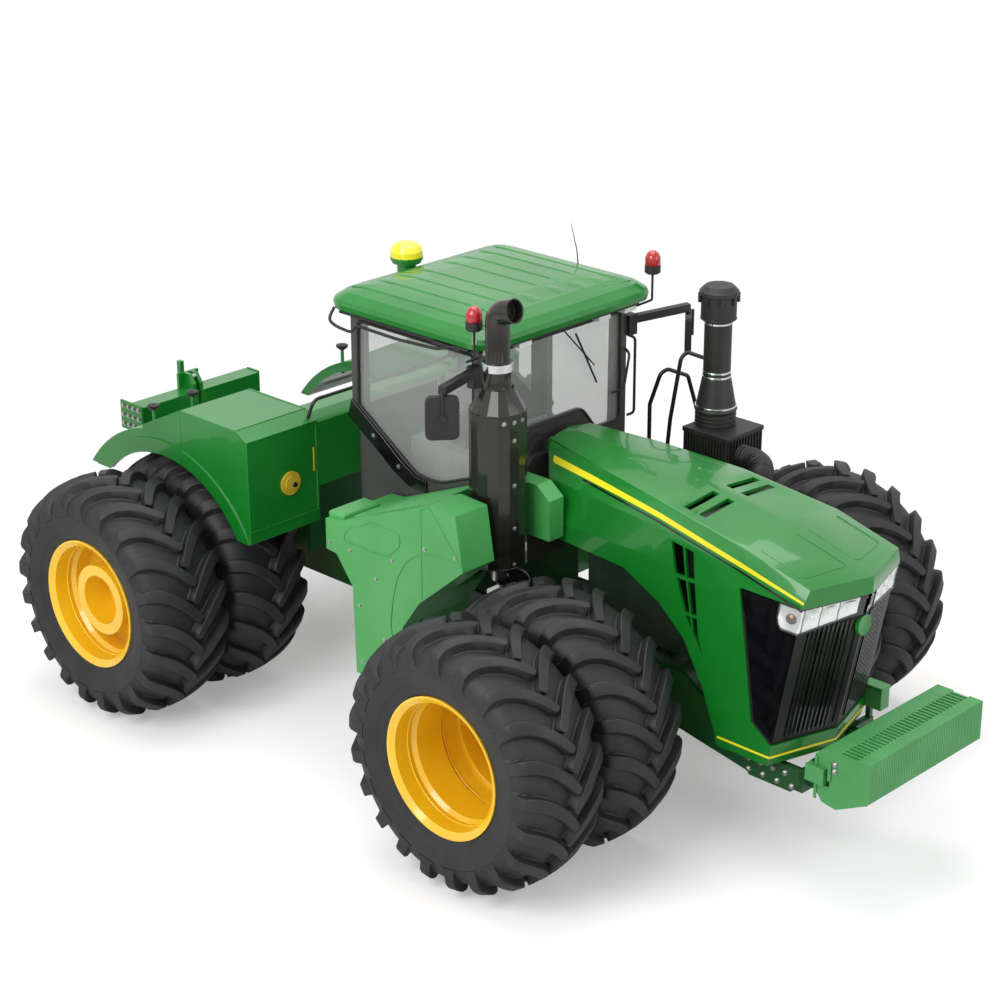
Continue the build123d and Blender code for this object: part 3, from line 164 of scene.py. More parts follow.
def grid(points: Array, close_u: bool = False, close_v: bool = False, cap_u: bool = False) -> Shell:
    """Surface through an array of points of shape (nu, nv, 3), with flat caps at both u ends if asked.

    Args:
        points: The points.
        close_u: Whether the last u row joins the first.
        close_v: Whether the last v column joins the first.
        cap_u: Whether both u ends get a flat cap.

    Returns:
        The surface.
    """
    nu, nv, _ = points.shape
    faces = [tuple(int(i) for i in f) for f in grid_faces(nu, nv, close_u, close_v)]
    if cap_u:
        faces.append(tuple(range(nv))[::-1])
        faces.append(tuple(range((nu - 1) * nv, nu * nv)))
    return Shell(points.reshape(-1, 3), faces)


def outward(shell: Shell) -> Shell:
    """The shell turned right side out: a closed surface's signed volume is positive when it faces out.

    Args:
        shell: A closed surface.

    Returns:
        The same surface, facing out.
    """
    p = shell.points
    volume = sum(float(np.dot(p[f[0]], np.cross(p[f[i]], p[f[i + 1]]))) for f in shell.faces
                 for i in range(1, len(f) - 1))
    return shell if volume > 0 else Shell(p, [f[::-1] for f in shell.faces])


def box(low: Sequence[float], high: Sequence[float]) -> Shell:
    """Box between two corners; its edges are rounded by the piece's bevel.

    Args:
        low: One corner.
        high: The corner across from it.

    Returns:
        The closed box.
    """
    lo, hi = np.minimum(low, high), np.maximum(low, high)
    bits = np.array([[i & 1, i >> 1 & 1, i >> 2 & 1] for i in range(8)])
    faces = [(0, 4, 6, 2), (1, 3, 7, 5), (0, 1, 5, 4), (2, 6, 7, 3), (0, 2, 3, 1), (4, 5, 7, 6)]
    return Shell(lo + bits * (hi - lo), faces)


def prism(outline: Array, axis: int, start: float, end: float) -> Shell:
    """Flat outline carried straight along one axis: the outline's two columns are the other two axes.

    Args:
        outline: Points of the outline, two columns in the order of the remaining axes.
        axis: 0, 1 or 2 for X, Y or Z.
        start: Where the plate starts on that axis.
        end: Where the plate ends on that axis.

    Returns:
        The closed plate.
    """
    layers = [np.insert(outline, axis, value, axis=1) for value in (start, end)]
    return outward(grid(np.stack(layers), close_v=True, cap_u=True))


def turned(profile: Array, centre: Sequence[float], axis: int, steps: int = 48) -> Shell:
    """Profile of (along, radius) turned about an axis: point = centre + along * axis + radius * (cos, sin).

    Args:
        profile: Rows of distance along the axis and radius; closed if it never reaches radius zero.
        centre: A point on the axis.
        axis: 0, 1 or 2 for X, Y or Z.
        steps: Number of steps round the axis.

    Returns:
        The closed body.
    """
    angle = round_angles(steps)[:, None]
    a, b = [i for i in range(3) if i != axis]
    points = np.zeros((steps, len(profile), 3))
    points[..., axis] = profile[:, 0]
    points[..., a] = profile[:, 1] * np.cos(angle)
    points[..., b] = profile[:, 1] * np.sin(angle)
    ring = bool(profile[0, 1] > 1e-6 and profile[-1, 1] > 1e-6)
    return outward(grid(points + np.array(centre, float), close_u=True, close_v=ring))


def rounded_path(points: Array, bend: float, steps: int = 6) -> Array:
    """Polyline with each corner P rounded by the curve (1-t)^2 A + 2t(1-t) P + t^2 B.

    A and B lie on the two runs, at most bend from P and at most half a run.

    Args:
        points: The polyline.
        bend: The most that a curve takes up of a run, in metres.
        steps: Number of points on each curve.

    Returns:
        The rounded path.
    """
    before, corner, after = points[:-2], points[1:-1], points[2:]
    t = np.linspace(0, 1, steps)[None, :, None]

    def toward(other: Array) -> Array:
        """Where the curves leave the runs that lead to the other ends.

        Args:
            other: The other end of each run.

        Returns:
            One point on each run.
        """
        run = other - corner
        length = np.linalg.norm(run, axis=1, keepdims=True)
        return corner + run / length * np.minimum(bend, length * STRAIGHT_RUN)

    a, b = toward(before)[:, None], toward(after)[:, None]
    arcs = (1 - t) ** 2 * a + 2 * t * (1 - t) * corner[:, None] + t ** 2 * b
    return np.vstack([points[:1], arcs.reshape(-1, 3), points[-1:]])


def tube(points: Array, radius: Any, sides: int = 12, up: Sequence[float] = (0.13, 0.21, 0.97)) -> Shell:
    """Round tube along a path: centre + radius * (cos a * n + sin a * m), n and m square to the path.

    Args:
        points: The path.
        radius: One radius, or one for each point.
        sides: Number of sides.
        up: A direction that the path never takes.

    Returns:
        The closed tube.
    """
    way = np.gradient(points, axis=0)
    way /= np.linalg.norm(way, axis=1, keepdims=True)
    n = np.cross(np.array(up, float), way)
    n /= np.linalg.norm(n, axis=1, keepdims=True)
    m = np.cross(way, n)
    a = round_angles(sides)[None, :, None]
    r = np.broadcast_to(np.asarray(radius, float), (len(points),))[:, None, None]
    surface = points[:, None] + r * (np.cos(a) * n[:, None] + np.sin(a) * m[:, None])
    return outward(grid(surface, close_v=True, cap_u=True))


def bent_tube(points: Sequence[Sequence[float]], radius: float, bend: float, sides: int = 12) -> Shell:
    """Bent round tube along straight runs with rounded corners."""
    return tube(rounded_path(rows(*points), bend), radius, sides)


def slab(front: Array, back: Array) -> Shell:
    """Closed plate between two grids of points of the same shape (nu, nv, 3), edge and all.

    Args:
        front: Points of one skin.
        back: Points of the other.

    Returns:
        The closed plate.
    """
    nu, nv, _ = front.shape
    index = np.arange(nu * nv).reshape(nu, nv)
    edge = np.concatenate([index[:, 0], index[-1, 1:], index[::-1, -1][1:], index[0, ::-1][1:-1]])
    after, shift = np.roll(edge, -1), nu * nv
    quads = grid_faces(nu, nv, False, False)
    sides = np.stack([edge, edge + shift, after + shift, after], -1)
    every = np.vstack([quads, quads[:, ::-1] + shift, sides])
    points = np.vstack([front.reshape(-1, 3), back.reshape(-1, 3)])
    return outward(Shell(points, [tuple(int(i) for i in f) for f in every]))


def bolts(places: Array, way: Sequence[float], across: float, height: float) -> Shell:
    """Hexagon bolt heads on their washers, all copied from one, standing along way at each place.

    Args:
        places: Centres of the bolts on their surface.
        way: Direction that the heads stand in.
        across: Width over the corners.
        height: Height of the head.

    Returns:
        All the heads as one shell.
    """
    w = np.array(way, float) / np.linalg.norm(way)
    n = np.cross(w, (0.31, 0.55, 0.77))
    n /= np.linalg.norm(n)
    m = np.cross(w, n)
    ring = np.arange(6)[None, :] * math.pi / 3
    level = rows((0.0, 0.72), (0.18, 0.72), (0.18, 0.5), (0.9, 0.5), (1.0, 0.42))
    r = level[:, 1:] * across
    wide, deep = (r * np.cos(ring))[..., None], (r * np.sin(ring))[..., None]
    one = level[:, :1, None] * height * w + wide * n + deep * m
    single = outward(grid(one, close_v=True, cap_u=True))
    return gather([Shell(single.points + place, single.faces) for place in np.atleast_2d(places)])


def put(name: str, shell: Shell, finish: "Finish", body: str = Body.CHASSIS, bevel: float = 0.0,
        smooth: float = SMOOTH_DEGREES) -> bpy.types.Object:
    """Make a piece from a shell, finish it and let it ride on a body.

    Args:
        name: The piece's name.
        shell: Its surface, about the articulation pin.
        finish: Its finish, built once and shared.
        body: The CAD body that it rides on; most of the trim rides on the chassis.
        bevel: Width of the rounding along its edges, in metres, or none.
        smooth: Edges flatter than this, in degrees, shade smoothly.

    Returns:
        The new object.
    """
    material = FINISHES(finish)
    mesh = bpy.data.meshes.new(name)
    mesh.from_pydata((shell.points + PIN_TO_ORIGIN).tolist(), [], shell.faces)
    mesh.validate()
    mesh.update()
    mesh.materials.append(material)
    mesh.shade_smooth()
    mesh.set_sharp_from_angle(angle=math.radians(smooth))
    piece = bpy.data.objects.new(name, mesh)
    bpy.context.scene.collection.objects.link(piece)
    if bevel:
        soften(piece, bevel)
    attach(piece, body)
    LOG.info("%s: %d faces on %s", name, len(shell.faces), body)
    return piece


def soften(piece: bpy.types.Object, width: float) -> None:
    """Round a piece's sharp edges by width metres.

    Args:
        piece: The piece.
        width: Width of the rounding, in metres.
    """
    bevel = piece.modifiers.new("edges", "BEVEL")
    bevel.width = width
    bevel.segments = 2
    bevel.limit_method = "ANGLE"
    bevel.angle_limit = math.radians(BEVEL_DEGREES)
    bevel.harden_normals = True


def coordinates(mesh: bpy.types.Mesh) -> Array:
    """A mesh's points, one per row.

    Args:
        mesh: The mesh.

    Returns:
        An array of shape (points, 3).
    """
    flat = np.empty(len(mesh.vertices) * 3)
    mesh.vertices.foreach_get("co", flat)
    return flat.reshape(-1, 3)


def apply_modifiers(piece: bpy.types.Object) -> None:
    """Turn what a piece's modifiers give at the present frame into its own mesh, and take them off.

    Args:
        piece: The piece.
    """
    graph = bpy.context.evaluated_depsgraph_get()
    graph.update()
    mesh = bpy.data.meshes.new_from_object(piece.evaluated_get(graph))
    piece.modifiers.clear()
    piece.data = mesh


# ------------------------------------------------------------------ finishes
def linear(code: str) -> tuple[float, float, float, float]:
    """Linear colour of an sRGB hex value.

    Args:
        code: Such as "#0c7420".

    Returns:
        Red, green, blue and an alpha of 1.
    """
    c = np.array([int(code[i:i + 2], 16) for i in (1, 3, 5)]) / 255
    r, g, b = np.where(c <= 0.04045, c / 12.92, ((c + 0.055) / 1.055) ** 2.4)
    return float(r), float(g), float(b), 1.0


def per_mm(size: float) -> float:
    """Pattern scale on Object coordinates in metres, for features of this size in millimetres."""
    return 1000.0 / size


def add(tree: bpy.types.NodeTree, kind: str, settings: Optional[dict[str, Any]] = None,
        links: Optional[dict[Any, Any]] = None) -> bpy.types.Node:
    """Add one node with its settings and links.

    Args:
        tree: The node tree.
        kind: The node's type.
        settings: Values by attribute name or by input name.
        links: Output sockets by input name or input number.

    Returns:
        The node.
    """
    node = tree.nodes.new(kind)
    for key, value in (settings or {}).items():
        if key in node.inputs:
            node.inputs[key].default_value = value
        else:
            setattr(node, key, value)
    for key, socket in (links or {}).items():
        tree.links.new(socket, node.inputs[key])
    return node


def ramp(tree: bpy.types.NodeTree, source: Any, stops: Sequence[tuple[float, tuple[float, ...]]]) -> Any:
    """Colour ramp with these stops, as its colour output.

    Args:
        tree: The node tree.
        source: The value that picks the colour.
        stops: Place and linear colour of each stop.

    Returns:
        The ramp's colour socket.
    """
    node = add(tree, "ShaderNodeValToRGB", links={"Fac": source})
    points = node.color_ramp.elements
    while len(points) < len(stops):
        points.new(0.5)
    for point, (place, colour) in zip(points, stops):
        point.position, point.color = place, colour
    return node.outputs["Color"]


def fresh_tree(owner: Any) -> bpy.types.NodeTree:
    """Empty node tree of a material or a world.

    Args:
        owner: The material or the world.

    Returns:
        Its node tree, with no node in it.
    """
    owner.use_nodes = True
    owner.node_tree.nodes.clear()
    return owner.node_tree


@dataclass(frozen=True)
class Finish:
    """A real finish: its colour, how much that varies over the part, its gloss and its relief.

    Attributes:
        name: The finish in a maker's words.
        colour: sRGB hex value.
        tint: Colour of the lighter, weathered or dusty areas; on a screen, the painted shade in its holes.
        patch: Size of those areas in millimetres.
        grain: Size of the relief in millimetres.
        relief: Depth of the relief in millimetres.
        rough: Roughness.
        metal: Metallic value.
        coat: Clear coat weight.
        coat_rough: Clear coat roughness.
        ior: Refractive index of what isn't metal.
    """

    name: str
    colour: str
    tint: str
    patch: float = 300.0
    grain: float = 3.0
    relief: float = 0.03
    rough: float = 0.4
    metal: float = 0.0
    coat: float = 0.0
    coat_rough: float = 0.05
    ior: float = 1.5

    def shader(self, tree: bpy.types.NodeTree) -> bpy.types.Node:
        """Principled shader with this finish's constant values."""
        return add(tree, "ShaderNodeBsdfPrincipled", {
            "Roughness": self.rough, "Metallic": self.metal, "Coat Weight": self.coat,
            "Coat Roughness": self.coat_rough, "IOR": self.ior})

    def pattern(self, tree: bpy.types.NodeTree, place: Any) -> tuple[Any, Any]:
        """Colour and relief of the surface: slow patches between colour and tint, and fine noise as relief.

        Args:
            tree: The node tree.
            place: Object coordinates.

        Returns:
            Sockets of colour and of relief.
        """
        slow = add(tree, "ShaderNodeTexNoise", {"Scale": per_mm(self.patch), "Detail": 3.0},
            {"Vector": place})
        colour = ramp(tree, slow.outputs["Fac"], ((0.35, linear(self.colour)), (0.75, linear(self.tint))))
        fine = add(tree, "ShaderNodeTexNoise", {"Scale": per_mm(self.grain), "Detail": 2.0},
            {"Vector": place})
        return colour, fine.outputs["Fac"]

    def build(self) -> bpy.types.Material:
        """The finish as a material.

        Returns:
            The new material.
        """
        material = bpy.data.materials.new(self.name)
        tree = fresh_tree(material)
        place = add(tree, "ShaderNodeTexCoord").outputs["Object"]
        shader = self.shader(tree)
        colour, height = self.pattern(tree, place)
        tree.links.new(colour, shader.inputs["Base Color"])
        bump = add(tree, "ShaderNodeBump", {"Distance": self.relief / 1000, "Strength": 0.7},
            {"Height": height})
        tree.links.new(bump.outputs["Normal"], shader.inputs["Normal"])
        add(tree, "ShaderNodeOutputMaterial", links={"Surface": shader.outputs["BSDF"]})
        return material


@dataclass(frozen=True)
class Rubber(Finish):
    """Moulded tyre rubber: fine pebble from the mould, paler where it is worn and dusty."""

    def pattern(self, tree: bpy.types.NodeTree, place: Any) -> tuple[Any, Any]:
        """Colour as on other finishes, and relief from cells the size of the mould's pebble.

        Args:
            tree: The node tree.
            place: Object coordinates.

        Returns:
            Sockets of colour and of relief.
        """
        colour, fine = Finish.pattern(self, tree, place)
        cells = add(tree, "ShaderNodeTexVoronoi", {"Scale": per_mm(self.grain * 1.6)}, {"Vector": place})
        both = add(tree, "ShaderNodeMath", {"operation": "ADD"}, {0: cells.outputs["Distance"], 1: fine})
        return colour, both.outputs[0]


@dataclass(frozen=True)
class Woven(Finish):
    """Woven seat cloth: two crossing sets of threads, each a wave one thread wide."""

    def pattern(self, tree: bpy.types.NodeTree, place: Any) -> tuple[Any, Any]:
        """Colour and relief from two waves square to each other, multiplied.

        Args:
            tree: The node tree.
            place: Object coordinates.

        Returns:
            Sockets of colour and of relief.
        """
        colour, _ = Finish.pattern(self, tree, place)
        product = add(tree, "ShaderNodeMath", {"operation": "MULTIPLY"})
        for i, way in enumerate(("X", "DIAGONAL")):
            wave = add(tree, "ShaderNodeTexWave", {"Scale": per_mm(self.grain) / 6.2832,
                "bands_direction": way}, {"Vector": place})
            tree.links.new(wave.outputs["Fac"], product.inputs[i])
        return colour, product.outputs[0]


@dataclass(frozen=True)
class Mesh(Finish):
    """Expanded screen: holes painted dark as shade on a slanted lattice, one hole each grain."""

    def pattern(self, tree: bpy.types.NodeTree, place: Any) -> tuple[Any, Any]:
        """Cells: near a cell's middle is a hole painted near black as shade; its edge is a strand of the
        colour.

        Args:
            tree: The node tree.
            place: Object coordinates.

        Returns:
            Sockets of colour and of relief.
        """
        cells = add(tree, "ShaderNodeTexVoronoi", {"Scale": per_mm(self.grain), "Randomness": 0.12},
                    {"Vector": place})
        # the tint fills the holes: painted shade of the dark behind the screen, which has no real openings
        colour = ramp(tree, cells.outputs["Distance"],
                      ((0.30, linear(self.tint)), (0.42, linear(self.colour))))
        return colour, cells.outputs["Distance"]


@dataclass(frozen=True)
class Clear(Finish):
    """Clear or tinted pane, dome or lens that lets the things behind it show.

    Attributes:
        alpha: How much of what is behind it the surface hides.
        through: Transmission weight, for solid glass and moulded lenses.
    """

    alpha: float = 1.0
    through: float = 0.0

    def shader(self, tree: bpy.types.NodeTree) -> bpy.types.Node:
        """Principled shader with alpha and transmission.

        Args:
            tree: The node tree.

        Returns:
            The shader.
        """
        node = Finish.shader(self, tree)
        node.inputs["Alpha"].default_value = self.alpha
        node.inputs["Transmission Weight"].default_value = self.through
        return node


# Stoved gloss enamel on pressed sheet: deep clear green with a mirror-like coat and slight orange peel.
GREEN = Finish("gloss_green_enamel", "#0c7420", "#138029", 700, 9, 0.05, 0.34, 0.0, 0.5, 0.05, 1.45)
# The same green as a moulded panel: made paler as painted light for the brightly lit platform faces, and
# flatter.
PANEL_PAINTED_LIGHT = Finish("moulded_green_panel_painted_light", "#3f9a4b", "#4ba457", 500, 4, 0.05, 0.42, 0.0, 0.3, 0.15, 1.5)
# Enamel over cast iron: the green made paler as painted light for the lit weights, with the casting's grain
# showing through.
CAST_PAINTED_LIGHT = Finish("enamel_over_cast_iron", "#3d8f49", "#4a9a55", 300, 5, 0.25, 0.45, 0.0, 0.25, 0.2, 1.5)
# Chassis enamel: darker green, semi-gloss.
CHASSIS = Finish("semi_gloss_chassis_enamel", "#0a4a1a", "#145526", 260, 6, 0.15, 0.45, 0.0, 0.2, 0.2, 1.5)
# Wheel enamel: warm yellow, glossy on the rolled rim.
YELLOW = Finish("gloss_yellow_wheel_enamel", "#eebc16", "#f5c824", 400, 8, 0.04, 0.3, 0.0, 0.6, 0.06, 1.5)
# Cast vinyl film of the stripes: clear lemon yellow with a slight sheen.
STRIPE = Finish("yellow_stripe_film", "#e9dc16", "#efe32c", 200, 2, 0.01, 0.35, 0.0, 0.3, 0.1, 1.5)
# Carbon-black tyre rubber, matt with a greyish bloom.
RUBBER = Rubber("moulded_tyre_rubber", "#161618", "#242426", 220, 5, 0.35, 0.58, 0.0, 0.0, 0.3, 1.5)
# Cab frame paint: dark neutral grey, satin.
CAB_GREY = Finish("satin_grey_cab_paint", "#3b3b3a", "#454543", 350, 5, 0.05, 0.38, 0.0, 0.2, 0.2, 1.5)
# Powder coat on tubes and brackets: fine texture, satin.
BLACK = Finish("satin_black_powder_coat", "#141415", "#1d1d1e", 120, 1.2, 0.05, 0.42, 0.0, 0.1, 0.3, 1.5)
# Moulded ABS and rubber trim: grained and matt.
ABS = Finish("grained_black_abs", "#1a1a1a", "#242423", 200, 1.5, 0.12, 0.5, 0.0, 0.0, 0.3, 1.5)
# Polished black trim round the lamps and the grille.
GLOSS_BLACK = Finish("polished_black_trim", "#070709", "#0b0b10", 200, 6, 0.02, 0.12, 0.0, 0.6, 0.04, 1.5)
# Heat-proof enamel on the exhaust's folded shield: dark warm grey with a long soft sheen.
SHIELD = Finish("heat_proof_grey_enamel", "#2a2927", "#353330", 260, 4, 0.03, 0.20, 0.6, 0.4, 0.06, 1.5)
# Grille slats moulded in a green so dark that only their gloss tells it from black.
GRILLE_GREEN = Finish("polished_dark_green_slat", "#07140b", "#0b1d10", 200, 6, 0.02, 0.15, 0.0, 0.5, 0.05,
    1.5)
# Vapour-coated lamp bowl: bright and slightly satin.
REFLECTOR = Finish("satin_lamp_reflector", "#f1f3f4", "#fbfcfc", 60, 9, 0.02, 0.22, 0.55, 0.3, 0.1, 1.5)
# Chrome plate on clamps and bands.
CHROME = Finish("bright_chrome_plate", "#d8d8d8", "#c9c9cb", 300, 20, 0.01, 0.08, 1.0)
# Zinc plate on fasteners: bright grey with a fine spangle.
ZINC = Finish("zinc_plated_steel", "#a9a9a6", "#bcbcb8", 12, 1.0, 0.03, 0.3, 1.0)
# Ground and polished cylinder rods.
STEEL = Finish("ground_steel_rod", "#b9b9b8", "#a5a5a4", 60, 2, 0.01, 0.2, 1.0)
# Moulded trim inside the cab: pale grey and matt.
TRIM = Finish("moulded_grey_cab_trim", "#8a8b88", "#999a96", 200, 1.8, 0.1, 0.6, 0.0, 0.0, 0.3, 1.5)
# Seat cloth: woven grey threads without gloss.
CLOTH = Woven("woven_grey_seat_cloth", "#8e8f8c", "#a1a29e", 90, 7.0, 0.5, 0.85, 0.0, 0.0, 0.3, 1.5)
# Screen of the grille: black strands between cells of 16 mm, with holes painted darker still as shade.
SCREEN = Mesh("black_grille_screen", "#141414", "#020202", 200, 16, 1.5, 0.5, 0.0, 0.0, 0.3, 1.5)
# Cab glass: slight green-grey tint, mirror smooth.
GLASS = Clear("tinted_cab_glass", "#c3c8c3", "#cdd1cd", 900, 40, 0.001, 0.03, 0.0, 0.15, 0.02, 1.45,
    alpha=0.24)
# Clear moulded cover of the headlamps.
LENS = Clear("clear_moulded_lens", "#eef1f2", "#f6f8f8", 200, 12, 0.02, 0.05, 0.0, 0.5, 0.03, 1.49,
    alpha=0.10)
# Frosted work lamp glass.
WHITE_LENS = Finish("frosted_lamp_lens", "#e8eae8", "#f3f4f2", 30, 6, 0.3, 0.25, 0.0, 0.6, 0.05, 1.49)
# Red moulded beacon dome, nearly opaque.
RED = Clear("red_beacon_dome", "#b31217", "#c62428", 40, 8, 0.4, 0.15, 0.0, 0.7, 0.04, 1.49, alpha=0.93)
# Amber bulb of the turn lamp.
AMBER = Clear("amber_bulb_glass", "#f39a12", "#ffb02e", 20, 5, 0.02, 0.1, 0.0, 0.6, 0.04, 1.49, alpha=0.95)
# Yellow moulded dome of the position receiver.
DOME = Finish("moulded_yellow_dome", "#f2e31a", "#f8ec4a", 80, 10, 0.02, 0.25, 0.0, 0.5, 0.1, 1.49)
# Painted filler cap: dull ochre yellow.
CAP = Finish("yellow_filler_cap", "#c8a92c", "#d3b63b", 60, 2, 0.04, 0.4, 0.0, 0.2, 0.2, 1.5)
# Silvered mirror glass.
MIRROR = Finish("silvered_mirror", "#8f9496", "#9ba0a2", 300, 30, 0.001, 0.03, 1.0)
# Painted cast iron of the engine block: green darkened as painted shade for the machine's dark inside,
# rough.
ENGINE_PAINTED_SHADE = Finish("engine_casting_painted_shade", "#12281a", "#1b3524", 120, 9, 0.9, 0.55, 0.0, 0.1, 0.3, 1.5)


class Finishes:
    """Builds each finish once and hands out its material."""

    def __init__(self) -> None:
        """Start with none built."""
        self._built: dict[str, bpy.types.Material] = {}

    def __call__(self, finish: Finish) -> bpy.types.Material:
        """The material of a finish.

        Args:
            finish: The finish.

        Returns:
            Its material, built on first use.
        """
        if finish.name not in self._built:
            self._built[finish.name] = finish.build()
        return self._built[finish.name]


FINISHES = Finishes()


# ------------------------------------------------------------------ wheels
@dataclass
class DualWheel:
    """One corner: two lugged tyres on yellow rims.

    Attributes:
        end: Front or rear.
        side: Left or right.
        axle_x: The axle from the articulation pin.
        middles: Distance from the machine's middle of each tyre's middle plane.
        height: The axle above the floor.
        lugs: Number of lugs in each half of a tread.
        lug_width: Width of a lug at mid length.
        lug_sweep: How far round the tyre a lug runs, in radians.
        lug_start: Where a lug begins at the shoulder, across from the middle plane.
        lug_reach: How far across the tread a lug runs.
        lug_curl: Power by which a lug turns toward the middle.
        flange: Rolled edge of a rim, across and radius.
        steps: Steps inside the outer rim's barrel, across from its middle plane.
        step_radius: Radius of those steps.
        bolt_count: Number of wheel bolts on a front wheel.
        bolt_circle: Radius that they lie on.
        bolt_plane: How far out their seats are.
        crown: Outside of the lugs, rows of across and radius.
        carcass: Outside of the tyre between the lugs, rows of across and radius.
    """

    end: str
    side: Side
    axle_x: float
    middles: tuple[float, float] = (1.180, 2.000)
    height: float = 0.980
    lugs: int = 21
    lug_width: float = 0.080
    lug_sweep: float = 0.315
    lug_start: float = 0.374
    lug_reach: float = 0.394
    lug_curl: float = 1.7
    flange: tuple[float, float] = (0.326, 0.5135)
    steps: tuple[float, float] = (0.185, -0.16)
    step_radius: float = 0.4655
    bolt_count: int = 10
    bolt_circle: float = 0.155
    bolt_plane: float = 1.275
    crown: Array = field(default_factory=lambda: rows(
        (-0.02, 0.979), (0.0, 0.979), (0.10, 0.975), (0.20, 0.959), (0.27, 0.937), (0.33, 0.905),
        (0.36, 0.878), (0.374, 0.850)))
    carcass: Array = field(default_factory=lambda: rows(
        (-0.02, 0.908), (0.0, 0.908), (0.10, 0.904), (0.20, 0.890), (0.28, 0.862), (0.33, 0.828),
        (0.355, 0.780), (0.366, 0.740)))

    @property
    def body(self) -> str:
        """The CAD body of this corner."""
        return f"wheels_{self.end}_{self.side.name.lower()}"

    def place(self, across: Array, angle: Array, radius: Array, middle: float) -> Array:
        """Points of the wheel: x = axle + r sin a, z = height + r cos a; a grows forward from the top."""
        y = self.side.value * middle + across
        return np.stack(np.broadcast_arrays(
            self.axle_x + radius * np.sin(angle), y, self.height + radius * np.cos(angle)), -1)

    def tyre_body(self, middle: float) -> Shell:
        """Carcass without lugs: a closed profile of (across, radius) turned about the axle.

        Args:
            middle: The tyre's middle plane.

        Returns:
            The closed carcass.
        """
        half = np.vstack([self.carcass[1:], rows((0.371, 0.722), (0.373, 0.716), (0.371, 0.705),
            (0.368, 0.690), (0.362, 0.660), (0.352, 0.620), (0.350, 0.612), (0.347, 0.608), (0.338, 0.580),
            (0.330, 0.550), (0.322, 0.527), (0.300, 0.522))])
        inner = rows((0.300, 0.500), (0.0, 0.500))
        right = half * (-1, 1)
        profile = np.vstack([right[::-1], half[1:], inner, inner[:1] * (-1, 1)])
        angle = round_angles(96)[:, None]
        points = self.place(profile[None, :, 0], angle, profile[None, :, 1], middle)
        return outward(grid(points, close_u=True, close_v=True))

    def lug_row(self, middle: float, hand: int) -> list[Shell]:
        """Lugs of one half of a tread, all turned copies of one.

        Along t from 0 at the shoulder to 1 past the middle: across = start - reach * t, and the angle runs
        ahead by sweep * t^curl. Across the lug, offset g and rise f go round a trapezium.

        Args:
            middle: The tyre's middle plane.
            hand: +1 for the half towards +Y, -1 for the other.

        Returns:
            One shell for each lug.
        """
        t = np.concatenate([[0.0, 0.02], np.linspace(0.06, 0.94, 10), [0.985, 1.0]])[:, None]
        across = self.lug_start - self.lug_reach * t
        ahead = self.lug_sweep * t ** self.lug_curl
        slope = np.arctan(self.lug_sweep * self.lug_curl * t ** 0.7 * TREAD_RADIUS / self.lug_reach)
        width = self.lug_width * (1.25 - 0.35 * t)
        width = width * np.where(t > 0.99, 0.55, np.where(t > 0.97, 0.85, 1.0))
        g = rows(-0.86, -0.60, -0.50, -0.42, 0.42, 0.50, 0.60, 0.86)[None, :]
        f = rows(-0.12, 0.10, 0.92, 1.0, 1.0, 0.92, 0.10, -0.12)[None, :]
        y = np.minimum(across + g * width * np.sin(slope) * 0.9, self.lug_start + 0.0005)
        low = np.interp(y, self.carcass[:, 0], self.carcass[:, 1])
        top = np.interp(y, self.crown[:, 0], self.crown[:, 1])
        f = np.where((t < 0.01) & (f > 0.95), 0.93, f)
        radius = low + f * (top - low)
        angle = ahead + g * width * np.cos(slope) / TREAD_RADIUS
        start = math.pi / self.lugs * (hand > 0)
        turns = start + np.arange(self.lugs) * 2 * math.pi / self.lugs
        return [outward(grid(self.place(hand * y, angle + turn, radius, middle), close_v=True, cap_u=True))
                for turn in turns]

    def build(self) -> None:
        """Both tyres as one piece, and the rolled edges and valve of the rims."""
        shells = []
        for middle in self.middles:
            shells.append(self.tyre_body(middle))
            shells += self.lug_row(middle, 1) + self.lug_row(middle, -1)
        name = f"{self.end}_{self.side.name.lower()}"
        tyres = put(f"treaded_tyres_{name}", gather(shells), RUBBER, self.body, smooth=38)
        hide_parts(f"tyres_{name}")
        self.rim_trim(name)

    def rim_trim(self, name: str) -> None:
        """Rolled flange edges, the step inside the barrel, and what closes or carries the outer rim.

        Args:
            name: End and side of this corner, for the names of pieces.
        """
        sign = self.side.value
        a = round_angles(10)
        rings = []
        for middle in self.middles:
            for edge in (-1, 1):
                rings.append((sign * middle + edge * self.flange[0], self.flange[1], 0.0085, 0.0095))
        for offset in self.steps:
            rings.append((sign * (self.middles[1] + offset), self.step_radius, 0.007, 0.006))
        parts = [turned(np.stack([y + wide * np.cos(a), radius + thick * np.sin(a)], -1),
                        (self.axle_x, 0, self.height), 1, 72) for y, radius, wide, thick in rings]
        put(f"rolled_rim_edges_{name}", gather(parts), YELLOW, self.body, smooth=60)
        if self.end == "front":
            turn = np.arange(self.bolt_count) * 2 * math.pi / self.bolt_count
            x = self.axle_x + self.bolt_circle * np.sin(turn)
            z = self.height + self.bolt_circle * np.cos(turn)
            seats = np.full(self.bolt_count, sign * self.bolt_plane)
            heads = bolts(np.stack([x, seats, z], -1), (0, sign, 0), 0.024, 0.020)
            put(f"wheel_bolts_{name}", heads, ZINC, self.body)
        line = rows((0.20, 0.455), (0.232, 0.425), (0.25, 0.41))
        valve = tube(self.place(line[:, 0] * sign, np.array([0.6]), line[:, 1], self.middles[1]), 0.007, 8)
        put(f"tyre_valve_{name}", valve, BLACK, self.body)


